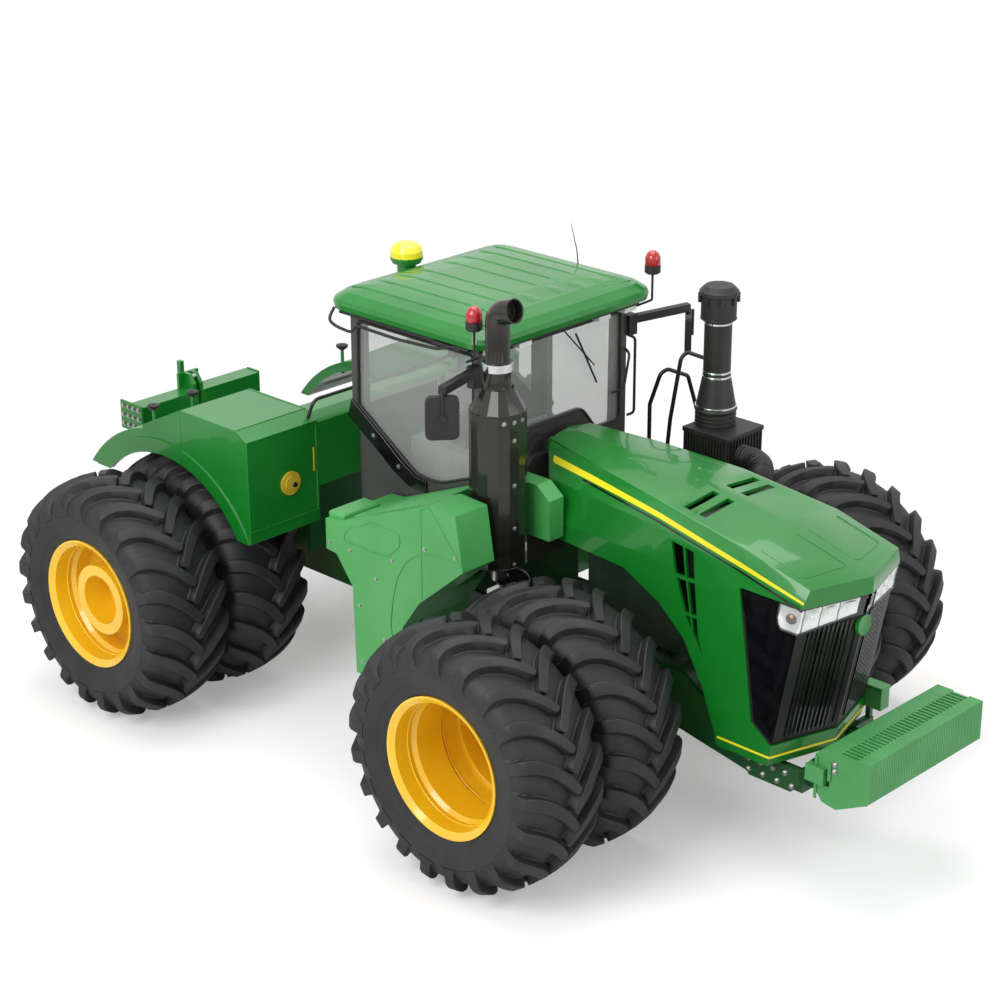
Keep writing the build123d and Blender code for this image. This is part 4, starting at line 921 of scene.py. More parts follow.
# ------------------------------------------------------------------ hood
@dataclass
class HoodForm:
    """The hood's outside, for what lies on it.

    Attributes:
        table: Rows of x, ridge z, crease y and z, stripe edge y and z, shoulder y and z.
        low: Height of the chin, then nose x and corner x there.
        high: Height of the brow, then nose x and corner x there.
        half: Half the hood's width.
    """

    table: Array = field(default_factory=lambda: rows(
        (0.960, 2.590, 0.215, 2.565, 0.285, 2.500, 0.420, 2.370),
        (1.600, 2.560, 0.345, 2.533, 0.400, 2.478, 0.495, 2.370),
        (2.300, 2.522, 0.450, 2.478, 0.497, 2.425, 0.535, 2.330),
        (3.100, 2.400, 0.510, 2.368, 0.537, 2.275, 0.546, 2.200),
        (3.660, 2.254, 0.500, 2.225, 0.540, 2.140, 0.548, 2.120)))
    low: tuple[float, float, float] = (0.836, 3.531, 3.370)
    high: tuple[float, float, float] = (2.125, 3.789, 3.617)
    half: float = 0.550

    def column(self, x: Array, index: int) -> Array:
        """One column of the table at these x."""
        return np.interp(x, self.table[:, 0], self.table[:, index])

    def crown(self, x: Array, y: Array) -> Array:
        """Height of the top skin between its two creases."""
        ridge, crease_y, crease = (self.column(x, i) for i in (1, 2, 3))
        return ridge + (crease - ridge) * np.minimum(np.abs(y) / crease_y, 1)

    def belt(self, x: Array, down: Array, out: float) -> Array:
        """Points on the facet below the stripe's edge: edge + down * d + out * n.

        Here d runs down the facet and n stands square to it.

        Args:
            x: Places along the hood.
            down: Distances down the facet.
            out: Distance out from it.

        Returns:
            Points, one for each x.
        """
        edge = np.stack([self.column(x, 4), self.column(x, 5)], -1)
        way = np.stack([self.column(x, 6), self.column(x, 7)], -1) - edge
        way /= np.linalg.norm(way, axis=-1, keepdims=True)
        normal = np.stack([-way[..., 1], way[..., 0]], -1)
        place = edge + np.asarray(down)[..., None] * way + out * normal
        return np.concatenate([np.asarray(x)[..., None], place], -1)

    def nose(self, s: Array, z: Array, out: Any) -> Array:
        """Points on the left half of the front.

        s is 0 on the ridge and 1 at the corner, and past 1 it runs on back along the side. Before the
        corner a point stands out square to the slanted front, and past it, square to the side.

        Args:
            s: Places round the front.
            z: Heights.
            out: Distance out from the skin.

        Returns:
            Points, one for each s and z.
        """
        t = (z - self.low[0]) / (self.high[0] - self.low[0])
        tip = self.low[1] + t * (self.high[1] - self.low[1])
        corner = self.low[2] + t * (self.high[2] - self.low[2])
        run = np.hypot(tip - corner, self.half)
        front = np.minimum(s, 1)
        past = s > 1
        x = tip + front * (corner - tip) + np.where(past, self.half * (1 - s), out * self.half / run)
        y = self.half * front + np.where(past, out, out * (tip - corner) / run)
        return np.stack(np.broadcast_arrays(x, y, z), -1)


@dataclass
class HoodDress:
    """Stripe, chin line, panel lines, grille, lamps and boss of the hood.

    Attributes:
        form: The surface that they lie on.
        cells: Edges of the lamp's cells, as fractions from ridge to corner.
        ribs: Number of upright ribs in each half of the grille.
        brow: Height of the lamps' upper edge.
        stripe: Rear and front end of the stripe in x.
        tail: Length of the stripe's rounded rear end.
        chin: Height of the line round the chin.
    """

    form: HoodForm = field(default_factory=HoodForm)
    cells: tuple[float, ...] = (0.16, 0.45, 0.71, 0.95, 1.34)
    ribs: int = 10
    brow: float = 2.092
    stripe: tuple[float, float] = (1.145, 3.615)
    tail: float = 0.045
    chin: float = 0.905

    def band(self, x: Array, start: float, end: Array) -> Shell:
        """Thin film on the belt facet between two distances below its edge.

        Args:
            x: Places along the hood.
            start: Distance of the film's upper edge.
            end: Distances of its lower edge.

        Returns:
            The closed film.
        """
        low = np.full(len(x), start)
        front = np.stack([self.form.belt(x, low, 0.0025), self.form.belt(x, end, 0.0025)], 1)
        back = np.stack([self.form.belt(x, low, -0.002), self.form.belt(x, end, -0.002)], 1)
        return slab(front, back)

    def stripes(self) -> None:
        """Yellow stripe with a rounded rear end, thin black line below it, and the line round the chin."""
        rear, front = self.stripe
        x = np.concatenate([rear + self.tail * np.linspace(0.03, 1, 7) ** 2, np.linspace(1.22, front, 40)])
        t = np.minimum((x - rear) / self.tail, 1)
        taper = np.interp(x, (1.2, 1.9, 3.1, front), (1.0, 0.78, 0.66, 0.35))
        width = 0.055 * taper * np.sqrt(np.maximum(1 - (1 - t) ** 2, 0.02))
        put("hood_stripe", self.band(x, 0.003, width).both(), STRIPE, Body.HOOD)
        line = x[x > 1.5]
        put("hood_black_line", self.band(line, 0.058, np.full(len(line), 0.072)).both(), GLOSS_BLACK,
            Body.HOOD)
        z = np.full(3, self.chin)
        chin = self.form.nose(np.array([1.0, 0.5, 0.0]), z, 0.003)
        start = np.array([[2.93, chin[0, 1] + 0.001, self.chin]])
        half = np.vstack([start, chin])
        whole = np.vstack([half, (half[:-1] * (1, -1, 1))[::-1]])
        put("chin_line", tube(rounded_path(whole, 0.010), 0.0085, 8), STRIPE, Body.HOOD, smooth=60)

    def panels(self) -> None:
        """Raised border of the two access panels on the hood's front, laid on the top skin."""
        corners = rows((3.170, 0.060, 0), (3.150, 0.434, 0), (3.531, 0.422, 0), (3.605, 0.058, 0),
            (3.170, 0.060, 0), (3.150, 0.434, 0))
        loop = rounded_path(corners, 0.035)[3:-3]
        loop[:, 2] = self.form.crown(loop[:, 0], loop[:, 1]) + 0.0005
        put("hood_panel_borders", tube(loop, 0.0032, 6).both(), GREEN, Body.HOOD, smooth=60)
        # black boxes under the slots: painted shade seen through the openings
        slots = []
        for x0 in (2.435, 2.570):
            for side in (-1, 1):
                low, high = (x0 + 0.004, side * 0.074, 2.415), (x0 + 0.058, side * 0.386, 2.435)
                slots.append(box(low, high))
        put("hood_slot_painted_shade", gather(slots), BLACK, Body.HOOD)

    def grille(self) -> None:
        """Upright ribs, screened corner strips and gloss side panels of the grille."""
        z = np.array([1.045, 1.915])[:, None]
        ribs = []
        for s in np.linspace(0.20, 0.80, self.ribs):
            edges = np.array([s - 0.011, s + 0.011])[None, :]
            ribs.append(slab(self.form.nose(edges, z, -0.004), self.form.nose(edges, z, -0.020)))
        put("grille_ribs", gather(ribs).both(), GRILLE_GREEN, Body.HOOD, bevel=0.002)
        strip = np.array([0.845, 0.985])[None, :]
        lower = np.array([1.02, 1.93])[:, None]
        strips = slab(self.form.nose(strip, lower, -0.006), self.form.nose(strip, lower, -0.018))
        put("grille_corner_screens", strips.both(), SCREEN, Body.HOOD, bevel=0.003)
        outline = rows((3.098, 2.080), (3.236, 1.132), (3.394, 1.020), (3.398, 1.020), (3.588, 2.080))
        put("grille_side_panels", prism(outline, 1, 0.533, 0.539).both(), GLOSS_BLACK, Body.HOOD,
            bevel=0.002)

    def foot(self, s: Array) -> Array:
        """Height of the lamp's lower edge, which rises again in a quarter circle at its outer end.

        Args:
            s: Places round the front.

        Returns:
            Heights.
        """
        first, last = self.cells[0], self.cells[-1]
        turn = np.clip((s - (last - 0.12)) / 0.12, 0, 1)
        low = np.interp(s, (first, 1.0), (1.962, 1.905))
        return low + 0.110 * (1 - np.sqrt(1 - turn ** 2 * 0.98))

    def lamps(self) -> None:
        """Four reflectors a side under one clear cover, each deeper as a^2 + b^2 falls to its middle."""
        a, b = np.meshgrid(np.linspace(-1, 1, 15), np.linspace(-1, 1, 9), indexing="ij")
        bowls, bulbs = [], []
        for inner, outer in zip(self.cells[:-1], self.cells[1:]):
            s = (inner + outer) / 2 + a * (outer - inner) * 0.465
            foot = self.foot(s)
            z = (foot + self.brow) / 2 + b * (self.brow - foot) * 0.46
            depth = np.clip((a ** 2 + b ** 2) / 1.3, 0, 1)
            bowls.append(slab(self.form.nose(s, z, -0.0130 + 0.0115 * depth), self.form.nose(s, z,
                -0.0145)))
            middle = self.form.nose(np.array((inner + outer) / 2), np.array(2.020), -0.008)
            t = np.linspace(0, math.pi, 9)
            bulbs.append(turned(np.stack([-0.014 * np.cos(t), 0.014 * np.sin(t)], -1), middle, 0, 16))
        put("lamp_reflectors", gather(bowls).both(), REFLECTOR, Body.HOOD, smooth=50)
        put("lamp_bulbs", gather(bulbs[:-1]).both(), WHITE_LENS, Body.HOOD)
        put("turn_bulbs", bulbs[-1].both(), AMBER, Body.HOOD)
        s = np.concatenate([np.linspace(self.cells[0] - 0.01, 1.0, 9), np.linspace(1.001,
            self.cells[-1] + 0.005, 14)])
        foot = self.foot(s) - 0.006
        z = np.stack([foot, np.full(len(s), self.brow + 0.004)], 1)
        cover = slab(self.form.nose(s[:, None], z, 0.001), self.form.nose(s[:, None], z, -0.0015))
        put("lamp_covers", cover.both(), LENS, Body.HOOD)
        low = self.form.nose(s, z[:, 0], 0.0)
        high = self.form.nose(s[::-1], z[::-1, 1], 0.0)
        loop = np.vstack([low, high, low[:2]])
        put("lamp_rims", tube(loop, 0.0055, 8, (0.31, 0.11, 0.02)).both(), GLOSS_BLACK, Body.HOOD,
            smooth=60)

    def boss(self) -> None:
        """Plain round boss on the grille's ridge."""
        place = self.form.nose(np.array(0.0), np.array(1.845), 0.0)
        profile = rows((-0.024, 0.0), (-0.024, 0.076), (0.003, 0.076), (0.006, 0.072), (0.004, 0.066),
            (0.004, 0.0))
        put("grille_boss", turned(profile, place, 0, 48), GREEN, Body.HOOD, smooth=40)

    def build(self) -> None:
        """Every piece of the hood's dress."""
        self.stripes()
        self.panels()
        self.grille()
        self.lamps()
        self.boss()


# ------------------------------------------------------------------ cab
@dataclass
class RoofDress:
    """Pressed ribs on the roof, its edge rail, drip trim, antenna and beacon domes.

    Attributes:
        span: Rear and front edge of the roof.
        half: Half the roof's width.
    """

    span: tuple[float, float] = (-0.640, 1.035)
    half: float = 0.945

    def skin(self, x: Array, y: Array) -> Array:
        """Height of the roof's skin, by how far a point lies inside the roof's edge."""
        inside = np.minimum(np.minimum(x - self.span[0], self.span[1] - x), self.half - np.abs(y))
        return np.interp(inside, (0.0, 0.012, 0.075, 0.200, 0.420), (3.435, 3.470, 3.520, 3.555, 3.575))

    def build(self) -> None:
        """Ribs, rail, trim, antenna, and the beacons' domes and bases."""
        ribs = []
        for y, start, end in ((0.14, -0.42, 0.80), (0.34, -0.46, 0.84), (0.54, -0.49, 0.88),
                (0.72, -0.51, 0.90)):
            x = np.linspace(start, end, 15)
            rise = 0.006 * np.clip(np.minimum(x - start, end - x) / 0.03, 0.05, 1)
            edges = np.array([y - 0.055, y - 0.045, y + 0.045, y + 0.055])
            grid_x, grid_y = np.meshgrid(x, edges, indexing="ij")
            lift = rise[:, None] * np.array([0.0, 1.0, 1.0, 0.0])[None, :]
            height = self.skin(grid_x, grid_y)
            top = np.stack([grid_x, grid_y, height + lift + 0.0006], -1)
            low = np.stack([grid_x, grid_y, height - 0.004], -1)
            ribs.append(slab(top, low))
        put("roof_ribs", gather(ribs).both(), GREEN, smooth=25)
        rail = [(-0.57, -0.90, 3.39), (-0.585, -0.955, 3.30), (-0.50, -0.955, 3.265), (-0.33, -0.95, 3.25),
                (-0.30, -0.945, 3.315), (0.15, -0.94, 3.305), (0.55, -0.94, 3.325), (0.72, -0.93, 3.375),
                (0.86, -0.915, 3.372)]
        put("roof_edge_rail", bent_tube(rail, 0.012, 0.05), BLACK, smooth=60)
        trim = []
        for side in (-1, 1):
            trim.append(box((-0.52, side * 0.905, 3.352), (0.90, side * 0.885, 3.377)))
            trim.append(box((0.50, side * 0.93, 3.345), (0.78, side * 0.885, 3.377)))
        trim.append(box((0.955, -0.80, 3.352), (0.975, 0.80, 3.377)))
        trim.append(box((-0.57, -0.80, 3.352), (-0.59, 0.80, 3.377)))
        put("roof_drip_trim", gather(trim), ABS, bevel=0.006)
        mast = tube(rows((0.35, 0.80, 3.52), (0.33, 0.80, 3.66), (0.27, 0.80, 3.85)),
            np.array([0.006, 0.004, 0.002]), 6)
        put("antenna_mast", mast, BLACK)
        dome = rows((-0.030, 0.0), (-0.030, 0.056), (-0.026, 0.0600), (0.030, 0.0585), (0.058, 0.047),
            (0.076, 0.026), (0.084, 0.0))
        put("beacon_domes", turned(dome, (0.960, 0.962, 3.657), 2, 32).both(), RED, smooth=50)
        foot = rows((-0.098, 0.0), (-0.098, 0.046), (-0.086, 0.0615), (-0.032, 0.0615), (-0.030, 0.0580),
            (-0.029, 0.0))
        put("beacon_bases", turned(foot, (0.960, 0.962, 3.657), 2, 32).both(), ABS, smooth=40)


@dataclass
class CabDress:
    """Seals, strips, wiper, mirrors' glass and trim inside the cab.

    Attributes:
        right: Outline of the right window, rows of x and z.
        door: Outline of the door's opening, rows of x and z.
        screen: Right half of the windscreen's outline, rows of y and z.
        mirror: Middle of the left mirror.
        mirror_turn: How far the mirrors are turned toward the cab, in degrees.
    """

    right: Array = field(default_factory=lambda: rows(
        (-0.430, 3.290), (-0.440, 2.620), (0.170, 2.225), (0.350, 2.212), (0.460, 2.225), (0.780, 2.350),
        (0.790, 3.290)))
    door: Array = field(default_factory=lambda: rows(
        (-0.010, 3.290), (-0.010, 1.700), (0.560, 1.700), (0.780, 2.300), (0.790, 3.290)))
    screen: Array = field(default_factory=lambda: rows(
        (0.0, 3.290), (0.730, 3.290), (0.730, 2.420), (0.460, 2.420), (0.300, 2.620), (0.0, 2.620)))
    mirror: tuple[float, float, float] = (1.013, 1.340, 3.020)
    mirror_turn: float = 40

    def seal(self, outline: Array, y: float) -> Shell:
        """Rubber seal round a window in a side wall.

        Args:
            outline: Rows of x and z.
            y: The wall that it lies on.

        Returns:
            The closed ring.
        """
        loop = np.stack([outline[:, 0], np.full(len(outline), y), outline[:, 1]], -1)
        loop = rounded_path(np.vstack([loop, loop[:2]]), 0.05)[4:]
        return tube(loop, 0.011, 8, (0.1, 0.97, 0.2))

    def seals(self) -> None:
        """Seals of the right window and the windscreen, and the door's."""
        put("right_window_seal", self.seal(self.right, -0.801), ABS, smooth=60)
        inset = self.door + np.where(self.door < self.door.mean(axis=0), 0.078, -0.078)
        put("door_seal", self.seal(inset, 0.801), ABS, Body.DOOR, smooth=60)
        loop = np.vstack([self.screen, (self.screen[1:-1] * (-1, 1))[::-1], self.screen[:2]])
        path = rounded_path(np.insert(loop, 0, 0.852, axis=1), 0.05)[4:]
        put("windscreen_seal", tube(path, 0.011, 8, (0.97, 0.1, 0.2)), ABS, smooth=60)

    def strips(self) -> None:
        """Gloss strip at the cab's right rear under the window's low edge, its bolts and the post covers."""
        outer = rows((-0.50, 2.66), (-0.42, 2.60), (-0.16, 2.43), (0.03, 2.29), (0.19, 2.205), (0.30, 2.19))
        inner = outer + rows((-0.045, -0.15), (-0.045, -0.14), (-0.075, -0.115), (-0.085, -0.10),
            (-0.07, -0.10), (0.0, -0.09))
        strip = np.stack([outer, inner], 1)
        front = at_y(strip, -0.822)
        back = at_y(strip, -0.8005)
        put("cab_corner_strip", slab(front, back), GLOSS_BLACK, bevel=0.006)
        heads = rows((-0.26, -0.822, 2.42), (0.01, -0.822, 2.24))
        put("cab_strip_bolts", bolts(heads, (0, -1, 0), 0.026, 0.010), ZINC)
        post = rows((-0.497, 3.36), (-0.497, 2.62), (-0.440, 2.60), (-0.432, 3.36))
        front_post = rows((0.795, 3.36), (0.786, 2.36), (0.848, 2.40), (0.848, 3.36))
        posts = gather([prism(post, 1, -0.806, -0.8005), prism(front_post, 1, -0.806, -0.8005)])
        put("cab_post_covers", posts, CAB_GREY, bevel=0.003)

    def wiper(self) -> None:
        """Wiper's arm and blade."""
        arm = bent_tube(((0.868, 0.06, 3.30), (0.880, 0.06, 3.30), (0.880, 0.40, 2.95)), 0.006, 0.02, 8)
        blade = bent_tube(((0.872, 0.20, 3.24), (0.872, 0.44, 2.80)), 0.008, 0.02, 6)
        put("windscreen_wiper", arm + blade, BLACK)

    def mirrors(self) -> None:
        """Glass, back, boss and stay of the mirrors, and the tubes to hold on to by the windscreen."""
        turn = math.radians(self.mirror_turn)
        n = np.array([math.cos(turn), math.sin(turn), 0.0])
        side = np.array([-math.sin(turn), math.cos(turn), 0.0])
        middle = np.array(self.mirror)
        u, v = np.meshgrid((-0.105, 0.105), (-0.145, 0.145), indexing="ij")
        flat = middle + u[..., None] * side + v[..., None] * UP
        glass = slab(flat - 0.0275 * n, flat - 0.0245 * n)
        put("mirror_glass", glass.both(), MIRROR)
        frames = slab(flat + 0.026 * n, flat + 0.022 * n)
        boss = turned(rows((0.0, 0.0), (0.0, 0.030), (0.018, 0.026), (0.018, 0.0)), (0, 0, 0), 0, 24)
        spun = boss.points @ np.array([n, side, UP]) + middle + 0.025 * n
        stay = tube(rows(self.mirror, (*self.mirror[:2], 3.20)) + 0.034 * n, 0.010, 8, (0.97, 0.2, 0.1))
        put("mirror_backs", (frames + Shell(spun, boss.faces) + stay).both(), ABS, bevel=0.002)
        tall = ((0.83, 0.84, 2.42), (0.87, 0.88, 2.44), (0.87, 0.88, 3.05), (0.83, 0.84, 3.07))
        short = ((0.86, 0.62, 2.66), (0.92, 0.70, 2.70), (0.92, 0.76, 2.96), (0.86, 0.78, 2.98))
        grabs = bent_tube(tall, 0.011, 0.03) + bent_tube(short, 0.010, 0.03)
        put("cab_grab_rails", grabs, BLACK, smooth=60)

    def inside(self) -> None:
        """Levers and display of the console, headrest, armrests and the roof's lining."""
        levers = []
        for i in range(4):
            base = np.array([0.20 + 0.08 * i, -0.44, 2.38])
            levers.append(tube(base + rows((0, 0, 0), (0.03, 0, 0.10)), 0.008, 8, (0.1, 0.97, 0.2)))
            levers.append(box(base + (0.015, -0.015, 0.10), base + (0.050, 0.015, 0.15)))
        put("console_levers", gather(levers), ABS, bevel=0.005)
        display = box((0.36, -0.60, 2.46), (0.40, -0.32, 2.68))
        display += box((0.37, -0.48, 2.38), (0.39, -0.44, 2.47))
        put("console_display", display, ABS, bevel=0.006)
        face = box((0.358, -0.585, 2.475), (0.3605, -0.335, 2.665))
        put("display_face", face, GLOSS_BLACK)
        headrest = box((-0.155, -0.13, 2.90), (-0.085, 0.13, 3.05))
        headrest += box((-0.13, -0.02, 2.80), (-0.11, 0.02, 2.92))
        put("seat_headrest", headrest, TRIM, bevel=0.03)
        arms = box((-0.12, -0.33, 2.36), (0.22, -0.26, 2.42)) + box((-0.12, 0.26, 2.36), (0.22, 0.33, 2.42))
        put("seat_armrests", arms, TRIM, bevel=0.02)
        lining = box((-0.44, -0.74, 3.30), (0.79, 0.74, 3.36))
        put("roof_lining", lining, TRIM, bevel=0.01)

    def build(self) -> None:
        """Every piece of the cab's dress."""
        self.seals()
        self.strips()
        self.wiper()
        self.mirrors()
        self.inside()


@dataclass
class SeatCushions:
    """Seat and back cushions: blown up by pressure from a slightly smaller shape, and the seat's piping.

    Attributes:
        voxel: Size of the remeshed faces.
        cap: How far a point may move.
        frames: Frames that the cloth runs for.
        pressure: Pressure inside the cloth.
        rounding: Edge rounding of the shape that is blown up.
        seat: Lowest and highest corner of the seat's starting shape: the CAD cushion's box, less the cap.
        back: The same of the back's.
        piping: Rear, front, side and height of the piping round the seat.
    """

    voxel: float = 0.0055
    cap: float = 0.028
    frames: int = 20
    pressure: float = 4.0
    rounding: float = 0.035
    seat: Corners = ((-0.072, -0.222, 2.118), (0.372, 0.222, 2.182))
    back: Corners = ((-0.122, -0.212, 2.243), (-0.058, 0.212, 2.832))
    piping: tuple[float, float, float, float] = (-0.082, 0.382, 0.232, 2.150)

    def swell(self, name: str, low: Sequence[float], high: Sequence[float]) -> bpy.types.Object:
        """Blow one cushion up between two corners, with its movement held to the cap.

        Args:
            name: The cushion's name.
            low: Lowest corner.
            high: Highest corner.

        Returns:
            The finished cushion, with no simulation left on it.
        """
        piece = put(name, box(low, high), CLOTH)
        soften(piece, self.rounding)
        remesh = piece.modifiers.new("voxels", "REMESH")
        remesh.mode = "VOXEL"
        remesh.voxel_size = self.voxel * 1.0
        apply_modifiers(piece)
        start = coordinates(piece.data)
        cloth = piece.modifiers.new("cloth", "CLOTH")
        cloth.settings.use_pressure = True
        cloth.settings.uniform_pressure_force = self.pressure
        cloth.settings.effector_weights.gravity = 0.0
        cloth.point_cache.frame_end = self.frames
        for frame_number in range(1, self.frames + 1):
            bpy.context.scene.frame_set(frame_number)
        apply_modifiers(piece)
        moved = coordinates(piece.data) - start
        length = np.linalg.norm(moved, axis=1, keepdims=True)
        LOG.info("%s: %d points, the cap holds %.0f%% of them", name, len(start),
            100 * (length > self.cap).mean())
        LOG.info("%s: without the cap the cloth moves them %.1f mm at most, %.1f mm on average", name,
                 length.max() * 1000, length.mean() * 1000)
        place = start + moved * np.minimum(1.0, self.cap / np.maximum(length, 1e-9))
        piece.data.vertices.foreach_set("co", place.ravel())
        piece.data.update()
        piece.data.shade_smooth()
        divide = piece.modifiers.new("divide", "SUBSURF")
        divide.levels = divide.render_levels = 1
        bpy.context.scene.frame_set(1)
        return piece

    def build(self) -> None:
        """Both cushions, and the piping round the seat."""
        seat = self.swell("seat_cushion", *self.seat)
        back = self.swell("back_cushion", *self.back)
        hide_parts("seat_cushions")
        x0, x1, y, z = self.piping
        loop = rows((x0, -y, z), (x1, -y, z), (x1, y, z), (x0, y, z), (x0, -y, z), (x1, -y, z))
        put("seat_piping", tube(rounded_path(loop, 0.05)[4:], 0.006, 6), ABS, smooth=60)


# ------------------------------------------------------------------ engine's pipes
@dataclass
class StackDress:
    """Bolts and clamp of the exhaust, and bands and ribs of the air intake.

    Attributes:
        exhaust: The exhaust's axis, x and y.
        intake: The intake's axis, x and y.
        shield: Radius of the exhaust's shield over its corners.
        facets: Number of flats round the shield.
        mouth_tilt: Lean of the exhaust's mouth, in degrees.
        hose: Mean radius of the intake's hose, depth of its rings and their pitch.
    """

    exhaust: tuple[float, float] = (1.168, -0.940)
    intake: tuple[float, float] = (1.500, 1.100)
    shield: float = 0.207
    facets: int = 16
    mouth_tilt: float = 14.0
    hose: tuple[float, float, float] = (0.0885, 0.006, 0.020)

    def band(self, axis: tuple[float, float], z0: float, z1: float, radius: float) -> Shell:
        """Flat band round an upright pipe, with rolled edges.

        Args:
            axis: The pipe's axis, x and y.
            z0: Lower edge.
            z1: Upper edge.
            radius: Radius of its flat.

        Returns:
            The closed band.
        """
        mid = (z0 + z1) / 2
        profile = rows((z0 - mid, radius - 0.012), (z0 - mid, radius), (z0 - mid + 0.003, radius + 0.003),
                       (z1 - mid - 0.003, radius + 0.003), (z1 - mid, radius), (z1 - mid, radius - 0.012))
        return turned(profile, (*axis, mid), 2, 40)

    def build(self) -> None:
        """Exhaust first, then the intake."""
        self.exhaust_trim()
        self.intake_trim()

    def exhaust_trim(self) -> None:
        """Clamp, shield rings and bolts, lower pipe, bracket and the mouth's rolled edge."""
        x, y = self.exhaust
        put("exhaust_clamp", self.band(self.exhaust, 3.312, 3.373, 0.109), CHROME, smooth=40)
        rings = [self.band(self.exhaust, z, z + 0.014, 0.2055) for z in (3.018, 1.852)]
        put("exhaust_shield_rings", gather(rings), SHIELD, smooth=40)
        places = []
        flat = self.shield * math.cos(math.pi / self.facets)
        for facet in range(self.facets):
            angle = 2 * math.pi / self.facets * (facet + 0.5)
            if facet in (14, 15, 0, 6, 7, 8):
                places.append((angle, 2.975))
            if facet in (7, 15):
                places += [(angle, z) for z in (2.84, 2.50, 2.17, 1.89)]
        heads = []
        for a, z in places:
            way = (math.cos(a), math.sin(a), 0)
            heads.append(bolts(rows((x + flat * way[0], y + flat * way[1], z)), way, 0.026, 0.010))
        put("exhaust_bolts", gather(heads), ZINC)
        lower = tube(rows((x, y, 1.855), (x, y, 1.78), (x, y, 1.715)), 0.059, 24, (0.97, 0.2, 0.1))
        put("exhaust_lower_pipe", lower, ZINC, smooth=60)
        bracket = prism(rows((0.955, 2.30), (1.00, 2.31), (1.005, 2.10), (1.12, 1.86), (1.08, 1.84),
            (0.955, 2.06)), 1, -1.20, -1.17)
        put("exhaust_bracket", bracket, BLACK, bevel=0.004)
        edge = rows((-0.004, 0.079), (-0.004, 0.0895), (0.004, 0.0895), (0.004, 0.079))
        mouth = turned(edge, (0, 0, 0), 0, 40)
        tilt = math.radians(self.mouth_tilt)
        c, s = math.cos(tilt), math.sin(tilt)
        way = rows((c, 0, s), (0, 1, 0), (-s, 0, c))
        ring = Shell(mouth.points @ way + np.array([x + 0.160, y, 3.775]), mouth.faces)
        put("exhaust_mouth", ring, SHIELD, smooth=40)

    def intake_trim(self) -> None:
        """Bands, rings and clips of the intake's pipe, ribs of its box, and the ringed hose."""
        bands = [self.band(self.intake, z, z + h, r) for z, h, r in (
            (3.255, 0.020, 0.106), (2.868, 0.016, 0.106), (2.832, 0.016, 0.109), (2.600, 0.014, 0.156))]
        put("intake_bands", gather(bands), CHROME, smooth=40)
        ix, iy = self.intake
        rings = [self.band(self.intake, z, z + 0.012, 0.156) for z in (2.468, 2.500, 2.532)]
        rings += [self.band(self.intake, 3.478, 3.498, 0.149), self.band(self.intake, 3.290, 3.302, 0.136)]
        clips = []
        for i in range(8):
            a = 2 * math.pi * i / 8
            centre = np.array([ix + 0.142 * math.cos(a), iy + 0.142 * math.sin(a), 3.45])
            clips.append(box(centre - (0.012, 0.012, 0.03), centre + (0.012, 0.012, 0.045)))
        put("intake_rings", gather(rings + clips), ABS, smooth=40)
        ribs = []
        for i in range(14):
            rx = ix - 0.105 + 0.0285 * i
            ribs.append(box((rx, iy - 0.242, 2.135), (rx + 0.010, iy - 0.229, 2.440)))
            ribs.append(box((rx, iy + 0.199, 2.135), (rx + 0.010, iy + 0.212, 2.440)))
        for i in range(12):
            ry = iy - 0.215 + 0.035 * i
            ribs.append(box((ix + 0.299, ry, 2.135), (ix + 0.312, ry + 0.012, 2.440)))
        ribs.append(box((ix - 0.128, iy - 0.238, 2.425), (ix + 0.308, iy + 0.208, 2.460)))
        put("intake_box_ribs", gather(ribs), ABS, bevel=0.002)
        line = rounded_path(rows((ix + 0.29, iy - 0.06, 2.28), (ix + 0.52, iy - 0.06, 2.28),
            (ix + 0.64, iy - 0.26, 2.18)), 0.12)
        along = np.concatenate([[0], np.cumsum(np.linalg.norm(np.diff(line, axis=0), axis=1))])
        t = np.linspace(0, along[-1], 90)
        path = np.stack([np.interp(t, along, line[:, i]) for i in range(3)], -1)
        mean, depth, pitch = self.hose
        hose = tube(path, mean + depth * np.cos(t / pitch * 2 * math.pi), 24)
        put("intake_hose", hose, ABS, smooth=60)


